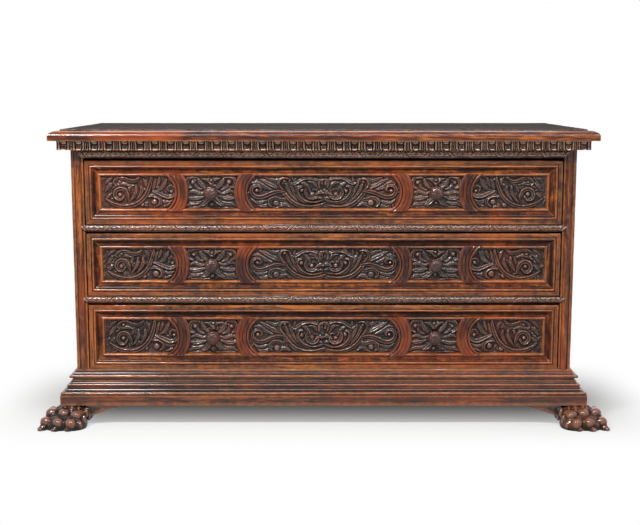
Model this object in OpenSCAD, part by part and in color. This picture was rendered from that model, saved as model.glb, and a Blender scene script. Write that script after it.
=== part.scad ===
// Carved walnut chest of three long drawers, with a moulded top, an egg-carved frieze,
// a moulded plinth and lion-paw front feet.
// Millimetres, +Z up, front towards -Y. The origin is on the floor, under the middle of the chest.

/* [Top] */
// Width of the top over its moulded edges
top_w = 1600; // [1450:10:1800]
// Depth of the top, from the moulded front edge to the plain back edge
top_d = 670; // [600:10:760]
// Thickness of the top
top_t = 34; // [30:1:42]
// Overhang of the top beyond the carcass at the front and at both sides
top_over = 55; // [50:1:70]
// Width of the moulding round the edge of the top
edge_w = 31; // [24:1:40]
// Height of the small step that ends the flat of the top
edge_step = 4; // [2:0.5:5]
// Height of the rounded part of the edge
edge_round = 16; // [12:1:20]
// Chamfer under the edge of the top
edge_chamfer = 2.5; // [1:0.5:4]

/* [Frieze] */
// Height of the carved frieze under the top
frieze_h = 26.5; // [22:0.5:34]
// How far the frieze stands out from the carcass
frieze_out = 35; // [28:1:45]
// Height of the plain fillet along the upper edge of the frieze
frieze_fillet = 2; // [1:0.5:4]
// Distance from one carved egg to the next
egg_pitch = 44.5; // [40:0.5:55]
// Radius of the hollow round each egg
egg_hollow_r = 14; // [12:0.5:17]
// Radius of each egg
egg_r = 9.5; // [8:0.5:11]
// Depth of the hollow round each egg
egg_hollow_d = 9; // [6:0.5:11]
// Radius of the groove between two eggs
dart_r = 2.2; // [1:0.1:4]

/* [Carcass] */
// Thickness of the side panels
side_t = 28; // [22:1:34]
// Width of the stiles beside the drawers
stile_w = 36; // [35:0.5:48]
// Thickness of the stiles
stile_t = 22; // [18:1:28]
// Distance from the outer edge of a stile to the middle of its raised band
band_in = 20; // [16:0.5:22]
// Width of the raised band of the stiles and of the ribbon beads of the rails
bead_w = 18; // [14:0.5:20]
// How far the band and the beads stand out
bead_out = 7; // [4:0.5:9]
// Depth of the top rail and of the two rails between the drawers
rail_d = 75; // [64:1:95]
// Height of each rail between two drawers
rail_h = 21.9; // [20:0.1:32]
// Height of the top rail that shows under the frieze
rail_top_show = 25; // [22:0.5:34]
// Thickness of the bottom rail behind the plinth
rail_bottom_t = 30; // [24:1:40]
// How deep the rails are let into the side panels
rail_housing = 10; // [6:1:14]
// Thickness of the back boards
back_t = 12; // [9:0.5:16]
// Width of the rebate in the side panels for the back boards
back_rebate = 14; // [10:1:18]
// Number of back boards
back_count = 3; // [2:1:5]
// Gap between two back boards
back_gap = 0.6; // [0.3:0.1:2]
// How far the back boards lie in from the rear edges of the side panels
back_inset = 2; // [2:0.5:8]
// Thickness of the bottom of the carcass
bottom_t = 18; // [14:1:24]
// Height of the drawer runners
runner_h = 20; // [14:1:26]
// Width of the drawer runners
runner_w = 30; // [26:1:40]
// Height of the guide strip on each runner, beside the drawer
guide_h = 16; // [10:1:24]

/* [Drawers] */
// Height of the upper drawer's front
upper_h = 188.5; // [175:0.5:215]
// Height of the middle drawer's front
middle_h = 188; // [175:0.5:215]
// Height of the lower drawer's front
lower_h = 195.5; // [175:0.5:220]
// Gap above the upper drawer
upper_gap = 8.1; // [3:0.1:10]
// Gap above the middle drawer
middle_gap = 5.4; // [3:0.1:10]
// Gap above the lower drawer
lower_gap = 6.3; // [3:0.1:10]
// Gap between a drawer front and the stile at each end
end_gap = 3; // [1.5:0.1:5]
// Height of a drawer above the rail and the runners that carry it
run_clear = 0.3; // [0.2:0.05:1]
// Thickness of the front board behind its mouldings
front_t = 22; // [18:1:28]
// Thickness of the drawer sides
drawer_side_t = 14; // [11:1:18]
// Thickness of the drawer back
drawer_back_t = 14; // [11:1:18]
// Thickness of the drawer bottom
drawer_bottom_t = 9; // [7:0.5:12]
// How deep the drawer bottom is let into the front and sides
bottom_groove = 6; // [4:0.5:8]
// Height of the drawer bottom above the lower edge of the sides
bottom_lift = 8; // [6:1:14]
// How much lower the sides are than the front
side_drop = 14; // [10:1:30]
// Gap between a drawer side and its guide
side_clear = 0.6; // [0.4:0.1:2]
// Gap between a closed drawer's front and the guide strips behind it
guide_gap = 3; // [1:0.5:8]
// Gap between a closed drawer and the back boards
rear_gap = 6; // [3:1:25]
// Number of dovetails at each front corner
tail_count = 3; // [2:1:4]
// How deep the dovetails go into the front board
tail_l = 13; // [9:1:15]
// Small gap in joints that are glued or nailed
joint_gap = 0.1; // [0.05:0.05:0.2]

/* [Drawer mouldings] */
// Width of the mitred moulding round each drawer front
frame_w = 47; // [44:1:56]
// Thickness of the moulding at its flat outer band
frame_t = 15; // [12:0.5:18]
// Width of the flat outer band
frame_band = 12; // [8:0.5:16]
// Radius of the bead beside the flat band
frame_bead_r = 3.5; // [2.5:0.25:4.5]
// Radius of the bead at the inner edge
inner_bead_r = 3.8; // [3:0.2:4.4]
// Depth of the narrow grooves beside the outer bead
quirk_d = 4; // [2:0.5:6]
// Inner radius of the arched pieces that divide the carved fields
arch_r = 60; // [55:1:75]
// Width of the arched pieces
arch_w = 41; // [32:1:48]
// Thickness of the arched pieces
arch_t = 12.5; // [9:0.5:14]
// How far the arched pieces run over the inner bead at top and bottom
arch_lap = 8; // [4:0.5:9]
// Distance from the middle of the drawer to the end of the middle field
middle_field_x = 226; // [200:1:250]
// Distance from the middle of the drawer to the near end of the side fields
side_field_x = 441; // [400:1:460]
// How far the carved scrolls stand up from their field
relief_h = 6; // [3:0.5:9]
// Height of the pattern of scrolls, which is cut off at the edge of its field
scroll_h = 94; // [80:1:110]

/* [Knobs and locks] */
// Diameter of the round head of a knob
knob_d = 43; // [34:1:50]
// How far a knob stands out from the carved field
knob_out = 42; // [36:1:52]
// Depth of the round head of a knob
knob_head = 29; // [22:1:32]
// Diameter of the neck of a knob
knob_neck_d = 17; // [13:1:20]
// Diameter of the turned pin that holds a knob
knob_pin_d = 12; // [9:1:14]
// Distance from the top of a drawer front to the middle of its keyhole
keyhole_drop = 71; // [66:1:76]
// Width of the round part of the keyhole
keyhole_d = 7; // [5:0.5:9]
// Length of the keyhole
keyhole_l = 18; // [14:1:22]
// Width of the lock case
lock_w = 80; // [60:1:110]
// Height of the lock case
lock_h = 98; // [94:1:110]
// Thickness of the lock case
lock_t = 14; // [12:1:18]
// Width of the plate under the lock case
lock_plate_w = 104; // [95:1:130]
// Thickness of the plate under the lock case
lock_plate_t = 2; // [1.5:0.5:4]
// Width of the lock bolt
bolt_w = 30; // [20:1:40]
// Thickness of the lock bolt
bolt_t = 6; // [4:0.5:7]
// Length of the lock bolt
bolt_l = 50; // [35:1:60]
// Gap round the lock bolt
bolt_clear = 0.4; // [0.3:0.05:1]
// Depth of the mortise over each lock bolt
strike_d = 11; // [9:0.5:13]
// Room round the raised bolt in its mortise
strike_gap = 3; // [1:0.5:4]

/* [Plinth] */
// Height of the flat board at the foot of the plinth
fascia_h = 31; // [24:1:45]
// How far the flat board stands out from the carcass
fascia_out = 45; // [42:1:58]
// Radius of the lower bead of the plinth
low_bead_r = 4.75; // [3:0.25:5.5]
// Radius of the lower hollow of the plinth
low_hollow_r = 12; // [9:0.5:13]
// Radius of the upper bead of the plinth
high_bead_r = 4; // [3:0.25:5]
// Radius of the upper hollow of the plinth
high_hollow_r = 6; // [4:0.5:7]
// Height of the narrow groove between the plinth and the base moulding
groove_h = 6; // [4:0.5:9]
// Radius of the bead of the base moulding
base_bead_r = 5; // [4:0.25:6]
// Radius of the hollow of the base moulding
base_hollow_r = 8.5; // [6:0.5:8.5]

/* [Feet] */
// Height of the feet
foot_h = 61; // [56:1:80]
// How far the outer toe stands out beyond the plinth at the side
paw_side = 58; // [48:1:70]
// How far the inner toe stands out beyond the plinth at the front
paw_front = 75; // [62:1:85]
// Radius of the toe pads
pad_r = 15; // [12:0.5:17]
// Radius of the knuckles
knuckle_r = 17; // [14:0.5:19]
// Length of the wing beside each front foot
wing_l = 103; // [80:1:140]
// Height of the wing where it meets the foot
wing_h = 33; // [20:1:40]
// Width of the rear feet
rear_foot_w = 90; // [60:1:120]
// Depth of the rear feet
rear_foot_d = 80; // [60:1:120]

/* [Nails] */
// Diameter of a nail's head
nail_head_d = 9; // [6:0.5:12]
// Thickness of a nail's head
nail_head_t = 1.6; // [1:0.1:3]
// Diameter of a nail's shank
nail_d = 3.6; // [2.5:0.1:4.5]
// Length of a nail's shank
nail_l = 32; // [20:1:40]

/* [Hidden] */
$fn = 48;

walnut = "#7a4a2a";
dark_walnut = "#4a3026";
poplar = "#b89468";
iron = "#3c3a38";

// Heights, from the floor up
plinth_h = fascia_h + 2*low_bead_r + low_hollow_r + 1.5 + 2*high_bead_r + high_hollow_r + 4;
base_h = groove_h + 2*base_bead_r + base_hollow_r + 5.5;
bed_z = foot_h + plinth_h + base_h;
rail_lower_z = bed_z + run_clear + lower_h + lower_gap;
rail_upper_z = rail_lower_z + rail_h + run_clear + middle_h + middle_gap;
rail_top_z = rail_upper_z + rail_h + run_clear + upper_h + upper_gap;
frieze_z = rail_top_z + rail_top_show;
top_z = frieze_z + frieze_h;

// The drawers from top to bottom: name, height, level of the rail under it, gap above it
names = ["upper", "middle", "lower"];
front_h = [upper_h, middle_h, lower_h];
bearer_z = [rail_upper_z + rail_h, rail_lower_z + rail_h, bed_z];
gap_above = [upper_gap, middle_gap, lower_gap];
function drawer_z(i) = bearer_z[i] + run_clear;
function drawer_top(i) = drawer_z(i) + front_h[i];

// Widths and depths
half_w = top_w/2 - top_over;
carcass_d = top_d - top_over;
front_reach = fascia_out + paw_front;
face_y = front_reach - (front_reach + carcass_d)/2;
back_y = face_y + carcass_d;
open_x = half_w - stile_w;
inner_x = half_w - side_t;
drawer_x = open_x - end_gap;
box_x = drawer_x - 1;
guide_x = box_x + side_clear;
field_y = face_y + frame_t + 0.5;
front_back_y = field_y + front_t;
boards_y = back_y - back_inset - back_t;
box_end_y = boards_y - rear_gap;
band_x = half_w - band_in;
knob_x = (middle_field_x + side_field_x)/2;
bolt_y = front_back_y + lock_plate_t + (lock_t - lock_plate_t)/2;
bolt_travel = strike_d + 4;

// Small fixed details of the mouldings and the knobs
band_ledge = 0.5;
knob_collar = 4;
quirk_w = 1.6;
fillet = 1.5;
bead_r = (bead_w*bead_w/4 + bead_out*bead_out)/(2*bead_out);

function arc(c, r, a0, a1, n = 8) =
    [for (k = [0:n]) c + r*[cos(a0 + (a1 - a0)*k/n), sin(a0 + (a1 - a0)*k/n)]];
function swap(list) = [for (p = list) [p[1], p[0]]];

// Front run: profile x goes out towards -Y, profile y goes up, the run lies along X
module front_run(len) {
    rotate([90, 0, -90]) linear_extrude(len, center = true) children();
}

// Left run: profile x goes out towards -X, profile y goes up, the run lies along Y
module left_run(len) {
    rotate([90, 0, 180]) linear_extrude(len) children();
}

// A shape drawn in X and Z and extruded through a depth from y0 to y1
module plate_xz(y0, y1) {
    translate([0, y1, 0]) rotate([90, 0, 0]) linear_extrude(y1 - y0) children();
}

// Plan of a front run with both ends mitred at the corners of the carcass
module front_mitre(out, z0, z1) {
    x = half_w;
    translate([0, 0, z0]) linear_extrude(z1 - z0)
        polygon([[-x - out, face_y - out], [x + out, face_y - out], [x, face_y], [-x, face_y]]);
}

// Plan of the left run that meets the front run at the mitre
module left_mitre(out, z0, z1) {
    x = -half_w;
    translate([0, 0, z0]) linear_extrude(z1 - z0)
        polygon([[x - out, face_y - out], [x, face_y], [x, back_y], [x - out, back_y]]);
}

// Top board with a stepped and rounded moulding on three edges
edge_pts = concat(
    [[edge_w, top_t], [edge_w - 0.5, top_t - edge_step + 0.6], [edge_w - 3, top_t - edge_step]],
    [for (k = [0:12]) [(edge_w - 4)*(1 - sin(k*7.5)),
                       top_t - edge_step - edge_round*(1 - cos(k*7.5))]],
    [[0, edge_chamfer], [edge_chamfer, 0]]);

module top_board() {
    color(walnut) translate([0, 0, top_z]) intersection() {
        translate([-top_w/2, face_y - top_over, 0]) rotate([90, 0, 90]) linear_extrude(top_w)
            polygon(concat(edge_pts, [[top_d, 0], [top_d, top_t]]));
        translate([0, face_y - top_over + top_d, 0]) rotate([90, 0, 0]) linear_extrude(top_d)
            polygon(concat([for (p = edge_pts) [p[0] - top_w/2, p[1]]],
                           [for (k = [len(edge_pts) - 1:-1:0])
                                [top_w/2 - edge_pts[k][0], edge_pts[k][1]]]));
    }
}

// One carved egg in its hollow, on a frieze face in the plane y = 0, looking towards -Y
egg_lift = egg_r + 1.5;
lobe_r = 6.5;
lobe_t = 7;
carved_h = frieze_h - frieze_fillet;

module egg_hollow() {
    translate([0, -egg_hollow_r + egg_hollow_d, -1]) cylinder(r = egg_hollow_r, h = carved_h + 1);
}

module egg() {
    translate([0, egg_hollow_d + 0.5, egg_lift]) sphere(r = egg_r);
    translate([0, egg_hollow_d + 1, carved_h]) rotate([90, 0, 0]) cylinder(r = lobe_r, h = lobe_t);
}

// A length of frieze with its face in the plane y = 0, from x = 0 to x = len, count eggs
module frieze_length(len, count) {
    step = len/count;
    difference() {
        cube([len, frieze_out, frieze_h]);
        for (k = [0:count - 1]) translate([step*(k + 0.5), 0, 0]) egg_hollow();
        for (k = [1:count - 1]) translate([step*k, 0, -1]) cylinder(r = dart_r, h = carved_h + 1);
    }
    intersection() {
        cube([len, frieze_out, frieze_h]);
        for (k = [0:count - 1]) translate([step*(k + 0.5), 0, 0]) egg();
    }
}

module frieze_front() {
    len = 2*(half_w + frieze_out);
    color(dark_walnut) intersection() {
        translate([-len/2, face_y - frieze_out, frieze_z]) frieze_length(len, round(len/egg_pitch));
        front_mitre(frieze_out, frieze_z - 1, top_z);
    }
}

module frieze_left() {
    len = carcass_d + frieze_out;
    color(dark_walnut) intersection() {
        translate([-half_w - frieze_out, back_y, frieze_z]) rotate([0, 0, -90])
            frieze_length(len, round(len/egg_pitch));
        left_mitre(frieze_out, frieze_z - 1, top_z);
    }
}

// Side panel with its housings for the rails and the bottom and its rebate for the back boards
module side_left() {
    e = joint_gap;
    color(walnut) difference() {
        translate([-half_w, face_y + stile_t, foot_h])
            cube([side_t, carcass_d - stile_t, top_z - foot_h]);
        for (z = [rail_lower_z, rail_upper_z])
            translate([-inner_x - rail_housing - e, face_y + stile_t - 1, z - e])
                cube([rail_housing + 1, rail_d - stile_t + 1 + e, rail_h + 2*e]);
        translate([-inner_x - rail_housing - e, face_y + stile_t - 1, rail_top_z - e])
            cube([rail_housing + 1, rail_d - stile_t + 1 + e, top_z - rail_top_z + 1]);
        translate([-inner_x - rail_housing - e, face_y + rail_bottom_t - e, bed_z - runner_h - bottom_t - e])
            cube([rail_housing + 1, carcass_d, bottom_t + 2*e]);
        translate([-half_w + side_t - back_rebate, boards_y - e, foot_h - 1])
            cube([back_rebate + 1, back_t + back_inset + 1, top_z - foot_h + 2]);
        nail_holes();
    }
}

// Half-round bead in section: x stands out from the face, y is across the bead,
// and the bead reaches back behind the face by root
module bead_section(root = 0) {
    intersection() {
        translate([bead_out - bead_r, 0]) circle(r = bead_r);
        translate([0, -bead_w/2]) square([bead_out + 1, bead_w]);
    }
    if (root > 0) translate([-root, -bead_w/2]) square([root, bead_w]);
}

// Outline of a rail's bead, pointed at both ends where it is mitred into the stiles
module bead_outline_point(z) {
    h = bead_w/2 + 1;
    polygon([[-band_x, z], [-band_x + h, z + h], [band_x - h, z + h],
             [band_x, z], [band_x - h, z - h], [-band_x + h, z - h]]);
}

// Outline of the top rail's bead, cut once at each end where it turns down the stiles
module bead_outline_corner(z) {
    h = bead_w/2 + 1;
    polygon([[-band_x - h, z + h], [band_x + h, z + h], [band_x - h, z - h], [-band_x + h, z - h]]);
}

module front_bead(z) {
    translate([0, face_y, z]) front_run(2*half_w) bead_section();
}

bead_top_z = rail_top_z + rail_top_show/2 - 1;
bead_upper_z = rail_upper_z + rail_h/2;
bead_lower_z = rail_lower_z + rail_h/2;

module stile_left() {
    h = bead_w/2;
    color(walnut) {
        difference() {
            translate([-half_w, face_y, foot_h]) cube([stile_w, stile_t, top_z - foot_h]);
            for (x = [band_in - h - band_ledge - quirk_w, band_in + h + band_ledge])
                translate([-half_w + x, face_y - 1, bed_z]) cube([quirk_w, 1 + quirk_w, top_z]);
        }
        difference() {
            translate([-band_x, face_y, bed_z]) linear_extrude(bead_top_z + h + 0.5 - bed_z)
                rotate(-90) bead_section(1);
            plate_xz(face_y - bead_out - 1, face_y) {
                bead_outline_point(bead_upper_z);
                bead_outline_point(bead_lower_z);
                bead_outline_corner(bead_top_z);
            }
        }
    }
}

// A rail let into the side panels, with its ribbon bead; z0 to z1 is its height
module rail(z0, z1) {
    color(walnut) difference() {
        union() {
            translate([-open_x, face_y, z0]) cube([2*open_x, stile_t + 1, z1 - z0]);
            translate([-inner_x - rail_housing, face_y + stile_t, z0])
                cube([2*(inner_x + rail_housing), rail_d - stile_t, z1 - z0]);
        }
        translate([-bolt_w/2 - strike_gap, bolt_y - bolt_t/2 - strike_gap, z0 - 1])
            cube([bolt_w + 2*strike_gap, bolt_t + 2*strike_gap, strike_d + 1]);
    }
}

module rail_between(z, bead_z) {
    rail(z, z + rail_h);
    color(dark_walnut) intersection() {
        front_bead(bead_z);
        plate_xz(face_y - bead_out - 1, face_y) bead_outline_point(bead_z);
    }
}

module rail_top() {
    rail(rail_top_z, top_z);
    color(dark_walnut) intersection() {
        front_bead(bead_top_z);
        plate_xz(face_y - bead_out - 1, face_y) bead_outline_corner(bead_top_z);
    }
}

module rail_bottom() {
    color(poplar) {
        translate([-open_x, face_y, foot_h]) cube([2*open_x, stile_t + 1, bed_z - foot_h]);
        translate([-inner_x, face_y + stile_t, foot_h])
            cube([2*inner_x, rail_bottom_t - stile_t, bed_z - foot_h]);
    }
}

module back_boards() {
    total = top_z - foot_h;
    each_h = (total - back_gap*(back_count - 1))/back_count;
    w = half_w - side_t + back_rebate - joint_gap;
    color(poplar) difference() {
        for (k = [0:back_count - 1])
            translate([-w, boards_y, foot_h + k*(each_h + back_gap)]) cube([2*w, back_t, each_h]);
        nail_holes();
        mirror([1, 0, 0]) nail_holes();
    }
}

module bottom_board() {
    x = inner_x + rail_housing;
    color(poplar) translate([-x, face_y + rail_bottom_t, bed_z - runner_h - bottom_t])
        cube([2*x, boards_y - face_y - rail_bottom_t, bottom_t]);
}

// The three runners of one side, each with a guide strip that starts behind the drawer's front
module runners_left() {
    color(poplar) for (i = [0:2]) {
        y0 = face_y + (i == 2 ? rail_bottom_t : rail_d);
        guide_y = max(y0, front_back_y + guide_gap);
        translate([-inner_x, y0, bearer_z[i] - runner_h]) cube([runner_w, boards_y - y0, runner_h]);
        translate([-inner_x, guide_y, bearer_z[i] - 1])
            cube([inner_x - guide_x, boards_y - guide_y, guide_h + 1]);
    }
}

// Section of the plinth: flat board, bead, hollow, bead, hollow and fillet
low_c = fascia_out - fillet - low_bead_r;
low_z = fascia_h + 2*low_bead_r;
high_out = low_c - 0.75 - low_hollow_r + 0.5;
high_z = low_z + low_hollow_r + fillet;
shelf_out = high_out - high_bead_r - 1 - high_hollow_r;
plinth_pts = concat(
    [[0, 0], [fascia_out, 0], [fascia_out, fascia_h], [fascia_out - fillet, fascia_h]],
    arc([low_c, fascia_h + low_bead_r], low_bead_r, -60, 90),
    arc([low_c - 0.75, low_z + low_hollow_r], low_hollow_r, 270, 180, 12),
    arc([high_out - high_bead_r, high_z + high_bead_r], high_bead_r, -60, 90),
    arc([high_out - high_bead_r - 1, high_z + 2*high_bead_r + high_hollow_r], high_hollow_r, 270, 180),
    [[shelf_out, plinth_h], [0, plinth_h]]);

// Section of the base moulding: groove, bead, hollow and fillet
groove_out = shelf_out - 3.5;
base_pts = concat(
    [[0, 0], [groove_out, 0], [groove_out, groove_h]],
    arc([groove_out + 4, groove_h + base_bead_r], base_bead_r, -90, 90, 12),
    arc([groove_out + 2, groove_h + 2*base_bead_r + base_hollow_r], base_hollow_r, 270, 180, 12),
    [[groove_out + 2 - base_hollow_r, base_h - 3.5], [groove_out - base_hollow_r, base_h], [0, base_h]]);

module moulding_front(pts, z) {
    intersection() {
        translate([0, face_y, z]) front_run(2*(half_w + fascia_out)) polygon(pts);
        front_mitre(fascia_out, z - 1, z + plinth_h + base_h);
    }
}

module moulding_left(pts, z) {
    intersection() {
        translate([-half_w, face_y - fascia_out, z]) left_run(carcass_d + fascia_out) polygon(pts);
        left_mitre(fascia_out, z - 1, z + plinth_h + base_h);
    }
}

module plinth_front() {
    color(walnut) moulding_front(plinth_pts, foot_h);
}

module plinth_left() {
    color(walnut) moulding_left(plinth_pts, foot_h);
}

module base_moulding_front() {
    color(walnut) moulding_front(base_pts, foot_h + plinth_h);
}

module base_moulding_left() {
    color(walnut) moulding_left(base_pts, foot_h + plinth_h);
}

// Lion paw in its own frame: the corner of the plinth is at the origin, x runs outwards
// to the side, y runs to the front. Each toe has a knuckle, a pad and a claw.
knuckles = [[22, 4], [-13, 20], [-50, 31]];
pads = [[paw_side - pad_r, 36], [11, 54], [-28, paw_front - pad_r]];
knuckle_z = foot_h - knuckle_r - 3;
waist_r = 14;
claw_r = 6;

// Behind the toes: the back of the paw, the heel and the instep under the plinth, and the
// flat that carries it, each with its place, its radius and its height
back_of_paw = [[12, -6], [-18, 10], [-62, 26]];
back_z = knuckle_z - 4;
heel = [-58, -58];
heel_r = 36;
instep = [-58, -8];
instep_r = 26;
instep_h = foot_h - 8;
seat = [-32, -30];
seat_r = 34;
seat_t = 4;

// The wing is a plate with a falling lower edge
wing_root = -80;
wing_tip = wing_root - 12 - wing_l;
wing_back = -28;
wing_front = -6;

module toe(k) {
    translate([knuckles[k][0], knuckles[k][1], knuckle_z]) sphere(r = knuckle_r, $fn = 32);
    hull() {
        translate([knuckles[k][0], knuckles[k][1], knuckle_z - 3]) sphere(r = waist_r, $fn = 20);
        translate([pads[k][0], pads[k][1], pad_r + 1]) sphere(r = waist_r, $fn = 20);
    }
    translate([pads[k][0], pads[k][1], pad_r]) sphere(r = pad_r, $fn = 32);
    translate([pads[k][0] + 1, pads[k][1] + pad_r - claw_r - 1, claw_r]) sphere(r = claw_r, $fn = 16);
}

module paw() {
    for (k = [0:2]) toe(k);
    hull() {
        for (p = back_of_paw) translate([p[0], p[1], back_z]) sphere(r = knuckle_r, $fn = 24);
        translate(heel) cylinder(r = heel_r, h = foot_h, $fn = 32);
        translate(instep) cylinder(r = instep_r, h = instep_h, $fn = 32);
        translate([seat[0], seat[1], foot_h - seat_t]) cylinder(r = seat_r, h = seat_t, $fn = 32);
    }
    plate_xz(wing_back, wing_front) polygon([
        [wing_root, foot_h], [wing_tip, foot_h], [wing_tip, foot_h - 1],
        [wing_tip + wing_l*0.45, foot_h - wing_h*0.4], [wing_root, foot_h - wing_h]]);
}

module foot_front_left() {
    reach = wing_l + paw_side + paw_front;
    color(dark_walnut) translate([-half_w - fascia_out, face_y - fascia_out, 0])
        intersection() {
            rotate([0, 0, 180]) paw();
            translate([-reach, -reach, 0]) cube([2*reach, 2*reach, foot_h]);
        }
}

module foot_rear_left() {
    x = -half_w - fascia_out + 14;
    color(walnut) translate([x, back_y - rear_foot_d - 10, 0]) difference() {
        cube([rear_foot_w, rear_foot_d, foot_h]);
        translate([0, -1, 0]) rotate([-90, 0, 0]) cylinder(r = 12, h = rear_foot_d + 2);
        translate([rear_foot_w, -1, 0]) rotate([-90, 0, 0]) cylinder(r = 12, h = rear_foot_d + 2);
    }
}

// Rose-headed nails that hold the back boards to the left side panel: two in each board
nail_x = half_w - side_t + back_rebate/2;
nail_levels = [for (k = [0:back_count - 1]) for (f = [0.2, 0.8])
    foot_h + (k + f)*(top_z - foot_h)/back_count];

module nail_holes() {
    for (z = nail_levels) translate([-nail_x, boards_y + back_t - nail_l - 1, z]) rotate([-90, 0, 0])
        cylinder(d = nail_d + joint_gap, h = nail_l + 5);
}

module nails() {
    y = boards_y + back_t;
    color(iron) for (s = [-1, 1]) for (z = nail_levels) translate([s*nail_x, y, z]) rotate([90, 0, 0]) {
        cylinder(d = nail_d, h = nail_l);
        translate([0, 0, -nail_head_t]) cylinder(d1 = nail_head_d*0.45, d2 = nail_head_d, h = nail_head_t);
    }
}

// Section of the mitred drawer moulding: x stands out from the board, y goes in from the edge
bead1_y = frame_band + quirk_w + frame_bead_r;
cove_y = bead1_y + frame_bead_r + quirk_w;
inner_y = frame_w - inner_bead_r - 1.6;
frame_pts = concat(
    [[0, 0], [frame_t - 1.2, 0], [frame_t, 1.2], [frame_t, frame_band],
     [frame_t - quirk_d, frame_band + 0.3], [frame_t - quirk_d, frame_band + quirk_w]],
    [for (k = [0:8]) [frame_t - frame_bead_r + 0.5 + frame_bead_r*sin(k*22.5),
                      bead1_y - frame_bead_r*cos(k*22.5)]],
    [[frame_t - quirk_d, cove_y - quirk_w + 0.3], [frame_t - quirk_d, cove_y],
     [frame_t - 2.5, cove_y + 0.4]],
    [for (k = [0:8]) [frame_t - 3 - (frame_t - 3 - 6.2)*sin(k*11.25),
                      cove_y + 1 + (inner_y - inner_bead_r - 1 - cove_y)*(1 - cos(k*11.25))]],
    [for (k = [0:8]) [6 + inner_bead_r*sin(k*22.5), inner_y - inner_bead_r*cos(k*22.5)]],
    [[3, frame_w], [0, frame_w]]);

// Arched divider: ring round (x, mid-height), its open side away from the middle of the drawer
arch_pts = concat(
    [[arch_r, 0], [arch_r, arch_t - 5]],
    [for (k = [0:6]) [arch_r + 3.5 - 3.5*cos(k*30), arch_t - 5 + 3*sin(k*30)]],
    [[arch_r + 7.2, arch_t - 7], [arch_r + 9, arch_t - 7]],
    [for (k = [0:8]) [arch_r + 9 + (arch_w - 11)*k/8, arch_t - 3.5 + 3.5*sin(k*22.5)]],
    [[arch_r + arch_w, arch_t - 7], [arch_r + arch_w, 0]]);

// The four arches of drawer i; grow widens them for the notches in the moulding
module arches(i, grow = 0) {
    mid = drawer_z(i) + front_h[i]/2;
    reach = front_h[i]/2 - frame_w + arch_lap + grow;
    for (s = [-1, 1]) for (x = [middle_field_x - arch_r, side_field_x + arch_r]) {
        out = x < side_field_x ? 1 : -1;
        intersection() {
            translate([s*x, field_y, mid]) rotate([90, 0, 0]) rotate_extrude($fn = 96) {
                polygon(arch_pts);
                translate([arch_r - grow, 0]) square([arch_w + 2*grow, grow > 0 ? arch_t + 5 : 1]);
            }
            translate([s*x + (s*out > 0 ? 0 : -arch_r - arch_w - 1), field_y - 30, mid - reach])
                cube([arch_r + arch_w + 1, 40, 2*reach]);
        }
    }
}

module drawer_arches(i) {
    color(walnut) arches(i);
}

// The four mitred lengths of moulding round the front of drawer i
module drawer_frame(i) {
    h = front_h[i];
    w = drawer_x;
    g = joint_gap;
    color(walnut) translate([0, field_y, drawer_z(i)]) difference() {
        union() {
            for (m = [0, 1]) translate([0, 0, m*h]) mirror([0, 0, m]) intersection() {
                front_run(2*w) polygon(frame_pts);
                plate_xz(-frame_t - 2, 1)
                    polygon([[-w, 0], [w, 0], [w - frame_w, frame_w], [frame_w - w, frame_w]]);
            }
            for (m = [0, 1]) mirror([m, 0, 0]) intersection() {
                translate([-w, 0, 0]) linear_extrude(h) polygon([for (p = frame_pts) [p[1], -p[0]]]);
                plate_xz(-frame_t - 2, 1) polygon([[-w, g], [frame_w - w, frame_w + g],
                                                   [frame_w - w, h - frame_w - g], [-w, h - g]]);
            }
        }
        translate([0, -field_y, -drawer_z(i)]) arches(i, joint_gap);
    }
}

// Carved scrolls as flat raised shapes, drawn 94 high and scaled to their named height.
scroll_scale = scroll_h/94;

// A volute is a band that winds in to its eye.
module volute(x, y, r, a0, turns, w) {
    n = 12;
    pts = [for (k = [0:n]) let (t = k/n, a = a0 + turns*360*t, q = r*(1 - 0.78*t)) q*[cos(a), sin(a)]];
    inner = [for (k = [n:-1:0]) let (t = k/n, a = a0 + turns*360*t, q = r*(1 - 0.78*t) - w*(1 - 0.5*t))
        q*[cos(a), sin(a)]];
    translate([x, y]) polygon(concat(pts, inner));
}

// A leaf from its root at (x, y), pointing along angle a
module leaf(x, y, a, l, w) {
    n = 6;
    up = [for (k = [0:n]) [l*k/n, w/2*sin(180*pow(k/n, 0.6))]];
    translate([x, y]) rotate(a) polygon(concat(up, [for (k = [n - 1:-1:1]) [up[k][0], -up[k][1]]]));
}

module middle_scrolls() {
    for (m = [0, 1]) mirror([m, 0]) {
        volute(40, -6, 30, 250, -1.1, 7);
        volute(95, 8, 26, 200, 1.1, 6);
        volute(150, -12, 26, 60, -1.1, 6);
        leaf(8, -38, 8, 62, 14);
        leaf(66, -34, 42, 60, 16);
        leaf(112, -30, 12, 44, 13);
        leaf(124, 20, 24, 50, 15);
        leaf(188, 26, -40, 40, 13);
        leaf(14, 34, 12, 40, 11);
    }
}

module knob_scrolls() {
    for (m = [0, 1]) mirror([m, 0]) for (q = [0, 1]) mirror([0, q]) {
        volute(38, 28, 14, 200, 1, 5);
        leaf(14, 10, 30, 34, 13);
        leaf(6, 24, 65, 22, 10);
    }
}

module side_scrolls() {
    volute(-70, 4, 32, 300, -1.2, 7);
    volute(-4, -2, 26, 130, 1.2, 6);
    volute(66, 8, 28, 230, -1.2, 6);
    leaf(-34, -38, 40, 62, 15);
    leaf(-40, 36, -20, 46, 13);
    leaf(20, 34, -8, 48, 13);
    leaf(26, -34, 18, 54, 14);
    leaf(-98, -36, 20, 40, 12);
}

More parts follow.
